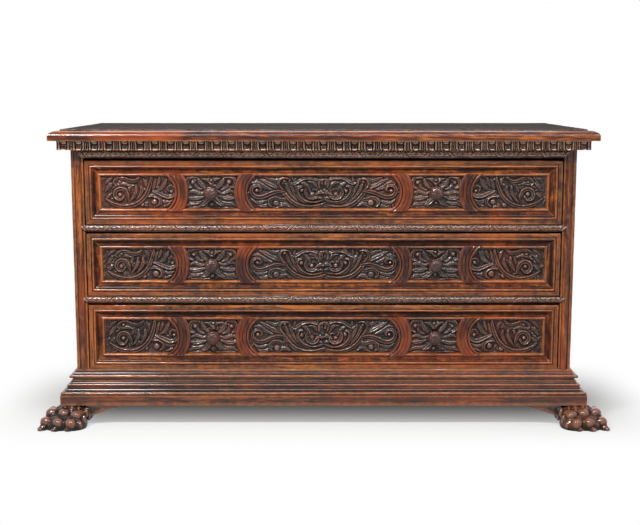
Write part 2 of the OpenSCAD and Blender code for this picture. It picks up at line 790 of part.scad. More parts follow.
// Front board of drawer i, with carved fields, keyhole, knob holes, dovetail sockets and groove
module drawer_front(i) {
    mid = drawer_z(i) + front_h[i]/2;
    side_mid = (side_field_x + arch_r*0.35 + drawer_x - frame_w)/2 + 6;
    e = joint_gap;
    groove_x = box_x - drawer_side_t + bottom_groove + e;
    color(dark_walnut) difference() {
        union() {
            translate([-drawer_x, field_y, drawer_z(i)]) cube([2*drawer_x, front_t, front_h[i]]);
            intersection() {
                translate([0, 0, mid]) plate_xz(field_y - relief_h, field_y + 1) {
                    scale(scroll_scale) middle_scrolls();
                    for (s = [-1, 1]) translate([s*knob_x, 0]) scale(scroll_scale) knob_scrolls();
                    for (m = [0, 1]) mirror([m, 0]) translate([side_mid, 0])
                        scale(scroll_scale) side_scrolls();
                }
                translate([-drawer_x, field_y - relief_h, drawer_z(i) + frame_w + 0.2])
                    cube([2*drawer_x, relief_h + 1, front_h[i] - 2*frame_w - 0.4]);
            }
        }
        arches_clear(mid);
        for (s = [-1, 1]) translate([s*knob_x, field_y - relief_h - 1, mid]) rotate([-90, 0, 0]) {
            cylinder(d = knob_pin_d + e, h = front_t + relief_h + 2);
            cylinder(d = knob_neck_d + 2*knob_collar + 1, h = relief_h + 1);
        }
        translate([0, field_y - relief_h - 1, drawer_top(i) - keyhole_drop]) {
            translate([0, 0, keyhole_l/2 - keyhole_d/2]) rotate([-90, 0, 0])
                cylinder(d = keyhole_d, h = front_t + relief_h + 2);
            translate([-keyhole_d/4, 0, -keyhole_l/2])
                cube([keyhole_d/2, front_t + relief_h + 2, keyhole_l - keyhole_d/2]);
        }
        for (s = [0, 1]) mirror([s, 0, 0]) tails(i, e);
        translate([-groove_x, front_back_y - bottom_groove - e, drawer_z(i) + bottom_lift - e])
            cube([2*groove_x, bottom_groove + 1, drawer_bottom_t + 2*e]);
    }
}

// Room for the arches in the carving of a front board
module arches_clear(mid) {
    reach = arch_r + arch_w + 1;
    for (s = [-1, 1]) for (x = [middle_field_x - arch_r, side_field_x + arch_r]) {
        out = x < side_field_x ? 1 : -1;
        intersection() {
            translate([s*x, field_y, mid]) rotate([90, 0, 0]) difference() {
                cylinder(r = arch_r + arch_w + 0.3, h = relief_h + 2);
                translate([0, 0, -1]) cylinder(r = arch_r - 0.3, h = relief_h + 4);
            }
            translate([s*x + (s*out > 0 ? 0 : -reach), field_y - relief_h - 2, mid - reach])
                cube([reach, relief_h + 2, 2*reach]);
        }
    }
}

// Dovetails on the front end of the left side of drawer i, widened by grow for the sockets
module tails(i, grow = 0) {
    side_h = front_h[i] - side_drop;
    pitch = side_h/tail_count;
    w = pitch*0.52;
    translate([-box_x - grow, front_back_y, drawer_z(i)])
        rotate([90, 0, 90]) linear_extrude(drawer_side_t + 2*grow)
            for (k = [0:tail_count - 1]) translate([0, pitch*(k + 0.5)])
                polygon([[0.01 + grow, -w/2 + 3 - grow], [-tail_l - grow, -w/2 - grow],
                         [-tail_l - grow, w/2 + grow], [0.01 + grow, w/2 - 3 + grow]]);
}

module drawer_side_left(i) {
    e = joint_gap;
    x = -box_x + drawer_side_t - bottom_groove - e;
    color(poplar) difference() {
        union() {
            translate([-box_x, front_back_y, drawer_z(i)])
                cube([drawer_side_t, box_end_y - front_back_y, front_h[i] - side_drop]);
            tails(i);
        }
        translate([x, front_back_y - tail_l - 1, drawer_z(i) + bottom_lift - e])
            cube([bottom_groove + 1, carcass_d, drawer_bottom_t + 2*e]);
    }
}

module drawer_back(i) {
    x = box_x - drawer_side_t;
    z = drawer_z(i) + bottom_lift + drawer_bottom_t;
    color(poplar) translate([-x, box_end_y - drawer_back_t, z])
        cube([2*x, drawer_back_t, drawer_top(i) - side_drop - z]);
}

module drawer_bottom(i) {
    x = box_x - drawer_side_t + bottom_groove;
    y0 = front_back_y - bottom_groove;
    color(poplar) translate([-x, y0, drawer_z(i) + bottom_lift])
        cube([2*x, box_end_y - y0, drawer_bottom_t]);
}

// Turned knob: pin, collar, neck and flattened ball
module knob(i, s) {
    r = knob_d/2;
    head_z = knob_out - knob_head/2;
    color(dark_walnut) translate([s*knob_x, field_y, drawer_z(i) + front_h[i]/2]) rotate([90, 0, 0])
        rotate_extrude() polygon(concat(
            [[0, -front_t + 1], [knob_pin_d/2, -front_t + 1], [knob_pin_d/2, 0],
             [knob_neck_d/2 + knob_collar, 0], [knob_neck_d/2 + knob_collar, 3],
             [knob_neck_d/2 + 1, 5], [knob_neck_d/2, 8]],
            [for (k = [0:12]) let (a = -56 + k*12.1)
                [k == 12 ? 0 : r*cos(a), head_z + 0.5*knob_head*sin(min(a, 90))]],
            [[0, knob_out]]));
}

// Iron lock: a case on a plate, with a keyhole and a way for the bolt
module lock_case(i) {
    top = drawer_top(i) - 1;
    z = top - lock_h;
    c = bolt_clear;
    color(iron) difference() {
        union() {
            translate([-lock_w/2, front_back_y, z]) cube([lock_w, lock_t, lock_h]);
            translate([-lock_plate_w/2, front_back_y, z - 6]) cube([lock_plate_w, lock_plate_t, lock_h + 6]);
        }
        translate([-bolt_w/2 - c, bolt_y - bolt_t/2 - c, top - bolt_l - 4])
            cube([bolt_w + 2*c, bolt_t + 2*c, bolt_l + 5]);
        translate([0, front_back_y - 1, drawer_top(i) - keyhole_drop]) {
            translate([0, 0, keyhole_l/2 - keyhole_d/2]) rotate([-90, 0, 0])
                cylinder(d = keyhole_d, h = lock_t - 2);
            translate([-keyhole_d/4, 0, -keyhole_l/2])
                cube([keyhole_d/2, lock_t - 2, keyhole_l - keyhole_d/2]);
        }
    }
}

module lock_bolt(i) {
    top = drawer_top(i) - 1.5;
    color(iron) translate([-bolt_w/2, bolt_y - bolt_t/2, top - bolt_l]) cube([bolt_w, bolt_t, bolt_l]);
}

top_board();
frieze_front();
frieze_left();
mirror([1, 0, 0]) frieze_left();  // frieze_right
side_left();
mirror([1, 0, 0]) side_left();  // side_right
stile_left();
mirror([1, 0, 0]) stile_left();  // stile_right
rail_top();
rail_between(rail_upper_z, bead_upper_z);  // rail_upper
rail_between(rail_lower_z, bead_lower_z);  // rail_lower
rail_bottom();
back_boards();
bottom_board();
runners_left();
mirror([1, 0, 0]) runners_left();  // runners_right
base_moulding_front();
base_moulding_left();
mirror([1, 0, 0]) base_moulding_left();  // base_moulding_right
plinth_front();
plinth_left();
mirror([1, 0, 0]) plinth_left();  // plinth_right
foot_front_left();
mirror([1, 0, 0]) foot_front_left();  // foot_front_right
foot_rear_left();
mirror([1, 0, 0]) foot_rear_left();  // foot_rear_right
nails();
for (i = [0:2]) {
    drawer = str(names[i], "_drawer_");
    lock = str(names[i], "_lock_");
    drawer_front(i);
    drawer_frame(i);
    drawer_arches(i);
    drawer_side_left(i);
    mirror([1, 0, 0]) drawer_side_left(i);
    drawer_back(i);
    drawer_bottom(i);
    knob(i, -1);
    knob(i, 1);
    lock_case(i);
    lock_bolt(i);
}
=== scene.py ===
import math
import bmesh
import bpy
import numpy as np
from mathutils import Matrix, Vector


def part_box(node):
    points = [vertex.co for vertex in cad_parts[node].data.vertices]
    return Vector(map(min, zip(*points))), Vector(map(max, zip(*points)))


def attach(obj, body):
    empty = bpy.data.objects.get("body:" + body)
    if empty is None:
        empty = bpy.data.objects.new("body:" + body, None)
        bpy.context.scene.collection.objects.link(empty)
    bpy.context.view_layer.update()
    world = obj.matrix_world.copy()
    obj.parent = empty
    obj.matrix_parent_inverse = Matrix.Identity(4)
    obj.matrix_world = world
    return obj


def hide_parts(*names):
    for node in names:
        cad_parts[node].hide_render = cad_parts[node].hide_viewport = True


# The looks of a carved walnut chest of three drawers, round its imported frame.
# Metres, +Z up, the front looks towards -Y.
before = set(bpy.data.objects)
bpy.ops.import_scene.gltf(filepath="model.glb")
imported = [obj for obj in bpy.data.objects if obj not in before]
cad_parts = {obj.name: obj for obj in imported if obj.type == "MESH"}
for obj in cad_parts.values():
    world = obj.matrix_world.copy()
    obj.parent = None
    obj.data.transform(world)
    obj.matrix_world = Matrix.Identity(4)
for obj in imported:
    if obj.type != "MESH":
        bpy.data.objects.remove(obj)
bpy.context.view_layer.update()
print("frame loaded with", len(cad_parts), "nodes")

mm = 0.001

# places that the frame gives
halfW = -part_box("side_left")[0].x
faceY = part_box("rail_bottom")[0].y
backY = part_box("side_left")[1].y
topLow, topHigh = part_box("top_board")
plinthLow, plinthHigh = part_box("plinth_front")
baseLow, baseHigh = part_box("base_moulding_front")
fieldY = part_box("upper_drawer_frame")[1].y
sides = ("front", "left", "right")
drawers = {}
for name in ("upper", "middle", "lower"):
    low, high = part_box(name + "_drawer_frame")
    drawers[name] = {"low": low.z, "high": high.z, "mid": (low.z + high.z) / 2, "half": high.x}


# hand tools

def deselect():
    if bpy.context.mode != "OBJECT":
        bpy.ops.object.mode_set(mode="OBJECT")
    bpy.ops.object.select_all(action="DESELECT")


def makeActive(piece):
    deselect()
    piece.select_set(True)
    bpy.context.view_layer.objects.active = piece


def editMode(piece):
    makeActive(piece)
    bpy.ops.object.mode_set(mode="EDIT")


def nameLast(name):
    piece = bpy.context.object
    piece.name = piece.data.name = name
    return piece


def readVectors(values, key):
    flat = np.empty(len(values) * 3, np.float32)
    values.foreach_get(key, flat)
    return flat.reshape(-1, 3).astype(float)


def points(piece):
    return readVectors(piece.data.vertices, "co")


def facings(piece):
    return readVectors(piece.data.vertex_normals, "vector")


def setPoints(piece, place):
    piece.data.vertices.foreach_set("co", np.asarray(place, np.float32).ravel())
    piece.data.update()


def pickEdges(piece, wanted):     # in edit mode, selects the edges for which wanted(edge) holds
    bpy.context.tool_settings.mesh_select_mode = (False, True, False)
    bpy.ops.mesh.select_all(action="DESELECT")
    shape = bmesh.from_edit_mesh(piece.data)
    for edge in shape.edges:
        edge.select_set(bool(wanted(edge)))
    bmesh.update_edit_mesh(piece.data)


def closeUp(piece):               # doubles merged, normals outward
    editMode(piece)
    bpy.ops.mesh.select_all(action="SELECT")
    bpy.ops.mesh.remove_doubles(threshold=0.00001)
    bpy.ops.mesh.normals_make_consistent(inside=False)
    deselect()


def bisectAway(place, normal):    # in edit mode, keeps the side that the normal points to
    bpy.ops.mesh.select_all(action="SELECT")
    bpy.ops.mesh.bisect(plane_co=place, plane_no=normal, use_fill=True, clear_inner=True)


def extrude(way):                 # in edit mode
    bpy.ops.mesh.extrude_region_move(TRANSFORM_OT_translate={"value": way})


def duplicated(name, source):
    makeActive(source)
    bpy.ops.object.duplicate()
    return nameLast(name)


def turned(place, a, b, turn):    # points turned about one axis, from column a towards column b
    c, s = math.cos(turn), math.sin(turn)
    result = place.copy()
    result[:, a] = place[:, a] * c - place[:, b] * s
    result[:, b] = place[:, a] * s + place[:, b] * c
    return result


def joined(name, pieces):
    makeActive(pieces[0])
    for piece in pieces[1:]:
        piece.select_set(True)
    bpy.ops.object.join()
    return nameLast(name)


def startOutline(name, corners):
    deselect()
    bpy.ops.mesh.primitive_circle_add(vertices=len(corners), radius=0.01, fill_type="NOTHING")
    piece = nameLast(name)
    setPoints(piece, [list(corner) for corner in corners])
    bpy.ops.object.mode_set(mode="EDIT")
    bpy.ops.mesh.select_all(action="SELECT")
    return piece


# a straight length of moulding: its outline is (outward, upward) and it is mitred by the cuts
def mouldingRun(name, outline, start, out, up, along, length, step, cuts=()):
    start, out, up, along = Vector(start), Vector(out), Vector(up), Vector(along)
    piece = startOutline(name, [start + out * a + up * b for a, b in outline])
    bpy.ops.mesh.edge_face_add()
    extrude(along * length)
    total = max(4, round(length / step))
    first = math.ceil(math.sqrt(total))
    for count in (first, math.ceil(total / first)):
        pickEdges(piece, lambda e: abs((e.verts[0].co - e.verts[1].co).normalized().dot(along)) > 0.99)
        bpy.ops.mesh.subdivide(number_cuts=count - 1)
    for place, normal in cuts:
        bisectAway(place, normal)
    closeUp(piece)
    return piece


# a moulding round the front and both sides of a body with corners at (-x, y) and (x, y), mitred there
def mitredRuns(label, outline, x, y, boxes):
    runs = {}
    for side, (low, high) in boxes.items():
        if side == "front":
            runs[side] = mouldingRun(label + "Front", outline, (low.x, y, low.z), (0, -1, 0), (0, 0, 1),
                                     (1, 0, 0), high.x - low.x, 5 * mm,
                                     [((-x, y, 0), (1, -1, 0)), ((x, y, 0), (-1, -1, 0))])
        else:
            s = -1 if side == "left" else 1
            runs[side] = mouldingRun(label + side.capitalize(), outline, (s * x, low.y, low.z), (s, 0, 0),
                                     (0, 0, 1), (0, 1, 0), high.y - low.y, 6 * mm,
                                     [((s * x, y, 0), (s, 1, 0))])
    return runs


def fine(outline, step):          # the same outline with a point at least every step on what shows
    result = []
    for (a, b), (c, d) in zip(outline, outline[1:] + outline[:1]):
        hidden = a <= 0 and c <= 0
        count = 1 if hidden else max(1, math.ceil(math.hypot(c - a, d - b) / step))
        result += [(a + (c - a) * k / count, b + (d - b) * k / count) for k in range(count)]
    return result


def arc(centreA, centreB, radius, start, end, count=8):
    turns = [math.radians(start + (end - start) * k / count) for k in range(count + 1)]
    return [(centreA + radius * math.cos(t), centreB + radius * math.sin(t)) for t in turns]


def copyNode(name, node, cuts):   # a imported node's own shape, cut by planes
    piece = duplicated(name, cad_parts[node])
    piece.parent = None
    for key in list(piece.keys()):
        del piece[key]
    closeUp(piece)
    editMode(piece)
    for place, normal in cuts:
        bisectAway(place, normal)
    deselect()
    return piece


# smooth noise from -1 to 1, one swing about every size metres; large odd numbers scramble the cells
def softNoise(place, size, seed):
    spot = np.asarray(place) / size + seed * 17.31
    cell = np.floor(spot).astype(np.int64)
    share = spot - cell
    share = share * share * (3 - 2 * share)
    total = np.zeros(len(spot))
    for corner in range(8):
        step = np.array([corner & 1, corner >> 1 & 1, corner >> 2 & 1])
        c = (cell + step) & 0xFFFF
        mixed = (c[:, 0] * 73856093) ^ (c[:, 1] * 19349663) ^ (c[:, 2] * 83492791)
        mixed = ((mixed ^ (mixed >> 13)) * 60493) & 0x7FFFFFFF
        mixed = (mixed ^ (mixed >> 11)) & 0xFFFF
        total += np.prod(np.where(step, share, 1 - share), axis=1) * (mixed / 32767.5 - 1)
    return total


# how far each point stands off its softened surroundings: edges above 0, hollows below
def standOff(piece, place, facing, rounds):
    count = len(place)
    pairs = np.empty(len(piece.data.edges) * 2, np.int32)
    piece.data.edges.foreach_get("vertices", pairs)
    a, b = pairs[0::2], pairs[1::2]
    degree = np.maximum(np.bincount(a, minlength=count) + np.bincount(b, minlength=count), 1)
    soft = place.copy()
    for _ in range(rounds):
        total = np.empty_like(soft)
        for axis in range(3):
            total[:, axis] = np.bincount(a, soft[b, axis], count) + np.bincount(b, soft[a, axis], count)
        soft = total / degree[:, None]
    return np.einsum("ij,ij->i", place - soft, facing)


def gridNoise(across, up, size, seed):
    spots = np.stack([across.ravel(), 0 * across.ravel(), up.ravel()], 1)
    return softNoise(spots, size, seed).reshape(across.shape)


def markWearAndLight(piece, values=0):    # 1 for an edge that hands polished, also painted lighter as highlight; -1 for a hollow with dirt, also painted dark as shade
    values = np.zeros(len(piece.data.vertices)) + values
    attribute = piece.data.attributes.new("edgeWear", "FLOAT", "POINT")
    attribute.data.foreach_set("value", np.clip(values, -1, 1).astype(np.float32))


# planed by hand and used for centuries: faces sway, sharp edges are dented, nothing leaves the box
handLook = {"swing": 130 * mm, "dent": 16 * mm, "broadDent": 60 * mm, "rare": 0.2, "broadRare": 0.3}


def handWorn(piece, seed, box, sway=0.35 * mm, nick=1.1 * mm, rounds=3, full=0.45 * mm, shadeSheenReach=0):
    look = handLook
    place, facing = points(piece), facings(piece)
    stand = standOff(piece, place, facing, rounds) / full
    dents = np.clip(softNoise(place, look["dent"], seed + 1) - look["rare"], 0, 1)
    dents += np.clip(softNoise(place, look["broadDent"], seed + 2) - look["broadRare"], 0, 1)
    depth = nick * dents * np.clip(stand, 0, 1)
    moved = place + facing * (sway * softNoise(place, look["swing"], seed) - depth)[:, None]
    setPoints(piece, np.clip(moved, box[0], box[1]))
    if shadeSheenReach:                     # beads are painted lighter as wear and highlight, and whole hollows darker as dirt and painted shade
        stand = 0.6 * stand + np.clip(standOff(piece, place, facing, 20) / shadeSheenReach, -1, 1)
    markWearAndLight(piece, stand)


def fit(piece, material, body, node):
    if material:
        piece.data.materials.clear()
        piece.data.materials.append(material)
    makeActive(piece)
    bpy.ops.object.shade_smooth_by_angle(angle=math.radians(40))
    deselect()
    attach(piece, body)
    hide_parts(node)


# finishes

def toLinear(code):
    shares = [int(code[k:k + 2], 16) / 255 for k in (1, 3, 5)]
    return [s / 12.92 if s < 0.04045 else ((s + 0.055) / 1.055) ** 2.4 for s in shares] + [1]


def addNode(tree, kind, settings=None, links=None):
    node = tree.nodes.new(kind)
    for key, value in (settings or {}).items():
        if key == "stops":
            while len(node.color_ramp.elements) < len(value):
                node.color_ramp.elements.new(0.5)
            for element, (place, colour) in zip(node.color_ramp.elements, value):
                element.position = place
                element.color = colour
        else:
            setattr(node, key, value)
    for key, value in (links or {}).items():
        if isinstance(value, bpy.types.NodeSocket):
            tree.links.new(value, node.inputs[key])
        else:
            node.inputs[key].default_value = value
    return node


def newMaterial(name):
    material = bpy.data.materials.new(name)
    material.use_nodes = True
    material.node_tree.nodes.clear()
    return material, material.node_tree


# the worn colour is for worn edges and painted highlight on what stands proud; the dirt colour is for grime
# and painted shade in the hollows
walnutLook = {
    "dark": "#230b06", "mid": "#50200e", "light": "#96521f", "wornAndSheen": "#aa6d3a", "dirtAndShade": "#080403",
    "aged": "#2a1614", "agedShare": 0.6, "warm": "#8a3a0e", "warmShare": 0.55,
    "figure": 34 * mm, "streak": 8 * mm, "fibre": 2.2 * mm, "stretch": 16,
    "roughness": 0.34, "wornRoughness": 0.22, "specular": 0.06, "coatLow": 0.2, "coatHigh": 0.75,
    "coatRoughness": 0.1, "bump": 0.35, "wearFrom": 0.45, "wearReach": 0.4,
    "wormCell": 15 * mm, "wormHole": 0.9 * mm, "hole": "#0d0806", "fleck": 16 * mm, "uneven": 2.0,
}


# Old walnut, planed or carved by hand, oiled and waxed: long red-brown streaks, orange where hands
# and cloths wore the edges and paler still as painted highlight, nearly black in the hollows with grime
# and painted shade, polished where it stands proud.
def woodMaterial(name, look, axis):
    material, tree = newMaterial(name)
    coordinates = addNode(tree, "ShaderNodeTexCoord").outputs["Object"]
    sway = addNode(tree, "ShaderNodeTexNoise", links={"Vector": coordinates, "Scale": 5, "Detail": 2})
    swayed = addNode(tree, "ShaderNodeVectorMath", {"operation": "MULTIPLY_ADD"}, {
        0: sway.outputs["Color"], 1: (0.03, 0.03, 0.03), 2: coordinates})
    squeeze = [1, 1, 1]
    squeeze["xyz".index(axis)] = 1 / look["stretch"]
    along = addNode(tree, "ShaderNodeMapping", links={
        "Vector": swayed.outputs[0], "Scale": squeeze}).outputs[0]
    noises = {}
    for key, vector, scale, detail, roughness in (
            ("figure", along, 1 / look["figure"], 3, 0.6), ("streak", along, 1 / look["streak"], 3, 0.6),
            ("fibre", along, 1 / look["fibre"], 2, 0.6), ("fleck", along, 1 / look["fleck"], 5, 0.8),
            ("glow", coordinates, 3.3, 3, 0.55), ("patches", coordinates, 8, 5, 0.65),
            ("breakUp", coordinates, 60, 3, 0.65), ("dents", coordinates, 90, 2, 0.5)):
        noises[key] = addNode(tree, "ShaderNodeTexNoise", links={
            "Vector": vector, "Scale": scale, "Detail": detail, "Roughness": roughness}).outputs["Fac"]
    worms = addNode(tree, "ShaderNodeTexVoronoi", links={
        "Vector": coordinates, "Scale": 1 / look["wormCell"]}).outputs["Distance"]

    # the wear of the piece, broken up, decides what is worn and painted lighter as highlight, what is dirty
    # and painted dark as shade, and what is polished
    wearAndLight = addNode(tree, "ShaderNodeAttribute", {"attribute_name": "edgeWear"}).outputs["Fac"]
    uneven = addNode(tree, "ShaderNodeMath", {"operation": "MULTIPLY_ADD"}, {
        0: noises["breakUp"], 1: look["uneven"], 2: -look["uneven"] / 2}).outputs[0]
    ragged = addNode(tree, "ShaderNodeMath", {"operation": "ADD"}, {0: wearAndLight, 1: uneven}).outputs[0]
    wornAndSheen, hole = look["wearFrom"], look["wormHole"] / look["wormCell"]
    shares = {}
    for key, source, start, end, low, high in (
            ("warm", noises["glow"], 0.5, 0.6, 0, look["warmShare"]),
            ("aged", noises["patches"], 0.52, 0.64, 0, look["agedShare"]),
            ("wornAndSheen", ragged, wornAndSheen, wornAndSheen + 0.9, 0, look["wearReach"]),
            # hollow: the share of the near-black colour in hollows, grime and painted shade together
            ("hollow", ragged, -0.25, -0.85, 0, 0.9),
            ("fleck", noises["fleck"], 0.62, 0.7, 0, 0.6),
            ("hole", worms, hole, 0.6 * hole, 0, 0.95),
            ("roughness", ragged, -0.8, 0.6, look["roughness"] + 0.2, look["wornRoughness"]),
            ("coat", ragged, -0.3, 0.6, look["coatLow"], look["coatHigh"])):
        shares[key] = addNode(tree, "ShaderNodeMapRange", links={
            0: source, 1: start, 2: end, 3: low, 4: high}).outputs[0]
    shares["dirtAndShade"] = addNode(tree, "ShaderNodeMath", {"operation": "MAXIMUM"}, {
        0: shares["hollow"], 1: shares["fleck"]}).outputs[0]

    half = addNode(tree, "ShaderNodeMix", links={0: 0.55, 2: noises["figure"], 3: noises["streak"]})
    tone = addNode(tree, "ShaderNodeMix", links={0: 0.22, 2: half.outputs[0], 3: noises["fibre"]})
    colour = addNode(tree, "ShaderNodeValToRGB", {"stops": [
        (0.41, toLinear(look["dark"])), (0.5, toLinear(look["mid"])), (0.59, toLinear(look["light"]))]},
        {0: tone.outputs[0]}).outputs[0]
    for key in ("warm", "aged", "wornAndSheen", "dirtAndShade", "hole"):
        colour = addNode(tree, "ShaderNodeMix", {"data_type": "RGBA"}, {
            0: shares[key], 6: colour, 7: toLinear(look[key])}).outputs[2]
    relief = addNode(tree, "ShaderNodeMath", {"operation": "MULTIPLY_ADD"}, {
        0: noises["fibre"], 1: 0.6, 2: noises["dents"]}).outputs[0]
    pitted = addNode(tree, "ShaderNodeMath", {"operation": "SUBTRACT"}, {0: relief, 1: shares["hole"]})
    bump = addNode(tree, "ShaderNodeBump", links={
        "Height": pitted.outputs[0], "Strength": look["bump"], "Distance": 0.8 * mm})
    shader = addNode(tree, "ShaderNodeBsdfPrincipled", links={
        "Base Color": colour, "Roughness": shares["roughness"], "Normal": bump.outputs[0],
        "IOR": 1.5, "Specular IOR Level": look["specular"], "Coat Weight": shares["coat"],
        "Coat Roughness": look["coatRoughness"]})
    addNode(tree, "ShaderNodeOutputMaterial", links={0: shader.outputs[0]})
    return material


carvedLook = {**walnutLook, "dark": "#1a1210", "mid": "#32231f", "light": "#533a30", "wornAndSheen": "#a06a50",
              "dirtAndShade": "#050404", "aged": "#2b2627", "warm": "#5c2b17", "warmShare": 0.5, "wearFrom": 0.4,
              "wearReach": 0.5, "specular": 0.12, "coatHigh": 1, "wornRoughness": 0.2,
              "coatRoughness": 0.08, "uneven": 1.8}
# small carving under the top and on the rails, rubbed paler than the fields, with pale raised edges partly
# painted highlight;
# the frieze and the top rail keep this copy, painted lighter where the top's shadow falls on them, the other
# rails a darker one
ribLitLook = {**carvedLook, "dark": "#2f1e18", "mid": "#5a3c2f", "light": "#9a6a50", "wornAndSheen": "#e6ba9c",
           "aged": "#4e403d", "wearReach": 0.8, "wearFrom": 0.3, "uneven": 1.3}
railLook = {**ribLitLook, "dark": "#1d120f", "mid": "#36221b", "light": "#58392a", "wornAndSheen": "#ba8463",
            "aged": "#2c2321", "wearReach": 0.65}
# the top's broad sheet is dry and dull, darkened by soot and polish, with no shine left
sheetLook = {**walnutLook, "dark": "#1a1514", "mid": "#272020", "light": "#382c27", "wornAndSheen": "#8a7262",
             "dirtAndShade": "#120e0d", "aged": "#232023", "warm": "#2e2422", "roughness": 0.65,
             "wornRoughness": 0.5, "specular": 0.01, "coatLow": 0, "coatHigh": 0.02, "coatRoughness": 0.3,
             "wearReach": 0.5, "wormCell": 30 * mm}
edgeLook = {**walnutLook, "dark": "#200b06", "mid": "#4e1f0d", "light": "#98541f", "agedShare": 0.7,
            "streak": 6 * mm, "coatLow": 0.35, "coatHigh": 0.7}
# the plinth is nearly black in its hollows, with old polish and with painted shade
plinthLook = {**walnutLook, "dark": "#1c0c08", "mid": "#3f1b10", "light": "#733c1c", "wornAndSheen": "#a56a41",
              "dirtAndShade": "#0c0a0c", "aged": "#20191b", "agedShare": 0.5, "warmShare": 0.3, "coatLow": 0.6,
              "coatHigh": 0.9, "wearReach": 0.55, "uneven": 1.4}
archFinish = {**walnutLook, "dark": "#1a0905", "mid": "#3a1509", "light": "#683013", "wornAndSheen": "#84462a",
              "wearReach": 0.3}
knobFinish = {**carvedLook, "dark": "#200e0d", "mid": "#371a15", "light": "#4f281f", "wornAndSheen": "#7d4838",
              "aged": "#2d1816", "coatLow": 0.6, "wearReach": 0.35, "bump": 0.12}
# paws: knuckles paler and creases near black, as wear and grime and as painted highlight and shade
pawFinish = {**carvedLook, "dark": "#1a100d", "mid": "#301c15", "light": "#54301f", "wornAndSheen": "#88543c",
             "dirtAndShade": "#080504", "aged": "#211819", "warm": "#6e3618", "wearFrom": 0.15,
             "wearReach": 0.55, "coatLow": 0.3}
# the boards inside are bare poplar, grey with age
poplarLook = {**walnutLook, "dark": "#7d5f3c", "mid": "#a58455", "light": "#c2a473", "wornAndSheen": "#d0b587",
              "dirtAndShade": "#4a3826", "aged": "#7b6952", "agedShare": 0.5, "warm": "#a9814f", "warmShare": 0.3,
              "roughness": 0.62, "wornRoughness": 0.55, "coatLow": 0, "coatHigh": 0, "specular": 0.4,
              "bump": 0.5}
walnut = {axis: woodMaterial("waxedWalnut" + axis.upper(), walnutLook, axis) for axis in "xz"}
plinthWalnut = {axis: woodMaterial("plinthWalnut" + axis.upper(), plinthLook, axis) for axis in "xy"}
ribLitWalnut = {axis: woodMaterial("rubbedLitWalnut" + axis.upper(), ribLitLook, axis) for axis in "xy"}
railWalnut = woodMaterial("railWalnut", railLook, "x")
carvedWalnut = woodMaterial("carvedWalnut", carvedLook, "x")
knobWalnut = woodMaterial("knobWalnut", knobFinish, "y")
sheetWalnut = woodMaterial("dryTopWalnut", sheetLook, "x")
edgeWalnut = woodMaterial("topEdgeWalnut", edgeLook, "x")
pawWalnut = woodMaterial("pawWalnut", pawFinish, "z")
archWalnut = woodMaterial("archWalnut", archFinish, "z")
poplar = {axis: woodMaterial("barePoplar" + axis.upper(), poplarLook, axis) for axis in "xy"}


# Forged iron, hammered and blackened by age, with brown rust in the pits.
def ironMaterial():
    look = {"iron": "#2d2b2a", "rust": "#3c241a", "roughness": 0.55, "rustRoughness": 0.85,
            "hammer": 9 * mm, "pits": 2 * mm}
    material, tree = newMaterial("forgedIron")
    coordinates = addNode(tree, "ShaderNodeTexCoord").outputs["Object"]
    hammer = addNode(tree, "ShaderNodeTexVoronoi", {"feature": "SMOOTH_F1"}, {
        "Vector": coordinates, "Scale": 1 / look["hammer"]})
    pits = addNode(tree, "ShaderNodeTexNoise", links={
        "Vector": coordinates, "Scale": 1 / look["pits"], "Detail": 4, "Roughness": 0.65}).outputs["Fac"]
    rusty, metal, rough = [
        addNode(tree, "ShaderNodeMapRange", links={0: pits, 1: start, 2: 0.7, 3: clean, 4: pitted}).outputs[0]
        for start, clean, pitted in ((0.5, 0, 0.8), (0.5, 0.9, 0.3),
                                     (0.4, look["roughness"], look["rustRoughness"]))]
    colour = addNode(tree, "ShaderNodeMix", {"data_type": "RGBA"}, {
        0: rusty, 6: toLinear(look["iron"]), 7: toLinear(look["rust"])})
    height = addNode(tree, "ShaderNodeMath", {"operation": "MULTIPLY_ADD"}, {
        0: pits, 1: -0.3, 2: hammer.outputs["Distance"]})
    bump = addNode(tree, "ShaderNodeBump", links={
        "Height": height.outputs[0], "Strength": 0.5, "Distance": 0.8 * mm})
    shader = addNode(tree, "ShaderNodeBsdfPrincipled", links={
        "Base Color": colour.outputs[2], "Metallic": metal, "Roughness": rough, "Normal": bump.outputs[0]})
    addNode(tree, "ShaderNodeOutputMaterial", links={0: shader.outputs[0]})
    return material


iron = ironMaterial()
print("finishes ready")


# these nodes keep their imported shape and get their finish
plainNodes = {"side_left": walnut["z"], "side_right": walnut["z"], "foot_rear_left": walnut["x"],
              "foot_rear_right": walnut["x"], "rail_bottom": poplar["x"], "bottom_board": poplar["x"],
              "runners_left": poplar["y"], "runners_right": poplar["y"], "nails": iron}
for drawer in drawers:
    for part, material in {"drawer_side_left": poplar["y"], "drawer_side_right": poplar["y"],
                           "drawer_back": poplar["x"], "drawer_bottom": poplar["x"], "lock_case": iron,
                           "lock_bolt": iron}.items():
        plainNodes[drawer + "_" + part] = material
for node, material in plainNodes.items():
    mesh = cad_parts[node].data
    mesh.materials.clear()
    mesh.materials.append(material)


# the back planks with eased edges, so that their joints show
def makeBack():
    look = {"planks": 3, "gap": 0.6 * mm, "ease": 2.2 * mm}
    low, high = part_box("back_boards")
    pitch = (high.z - low.z + look["gap"]) / look["planks"]
    planks = []
    for k in range(look["planks"]):
        deselect()
        bpy.ops.mesh.primitive_cube_add(size=1)
        plank = nameLast("plank")
        foot = np.array([low.x, low.y, low.z + k * pitch])
        size = [high.x - low.x, high.y - low.y, pitch - look["gap"]]
        setPoints(plank, foot + (points(plank) + 0.5) * size)
        ease = plank.modifiers.new("ease", "BEVEL")
        ease.width, ease.segments = look["ease"], 1
        bpy.ops.object.modifier_apply(modifier="ease")
        markWearAndLight(plank)
        planks.append(plank)
    piece = joined("backBoards", planks)
    fit(piece, poplar["x"], "carcass", "back_boards")


makeBack()
print("back made")


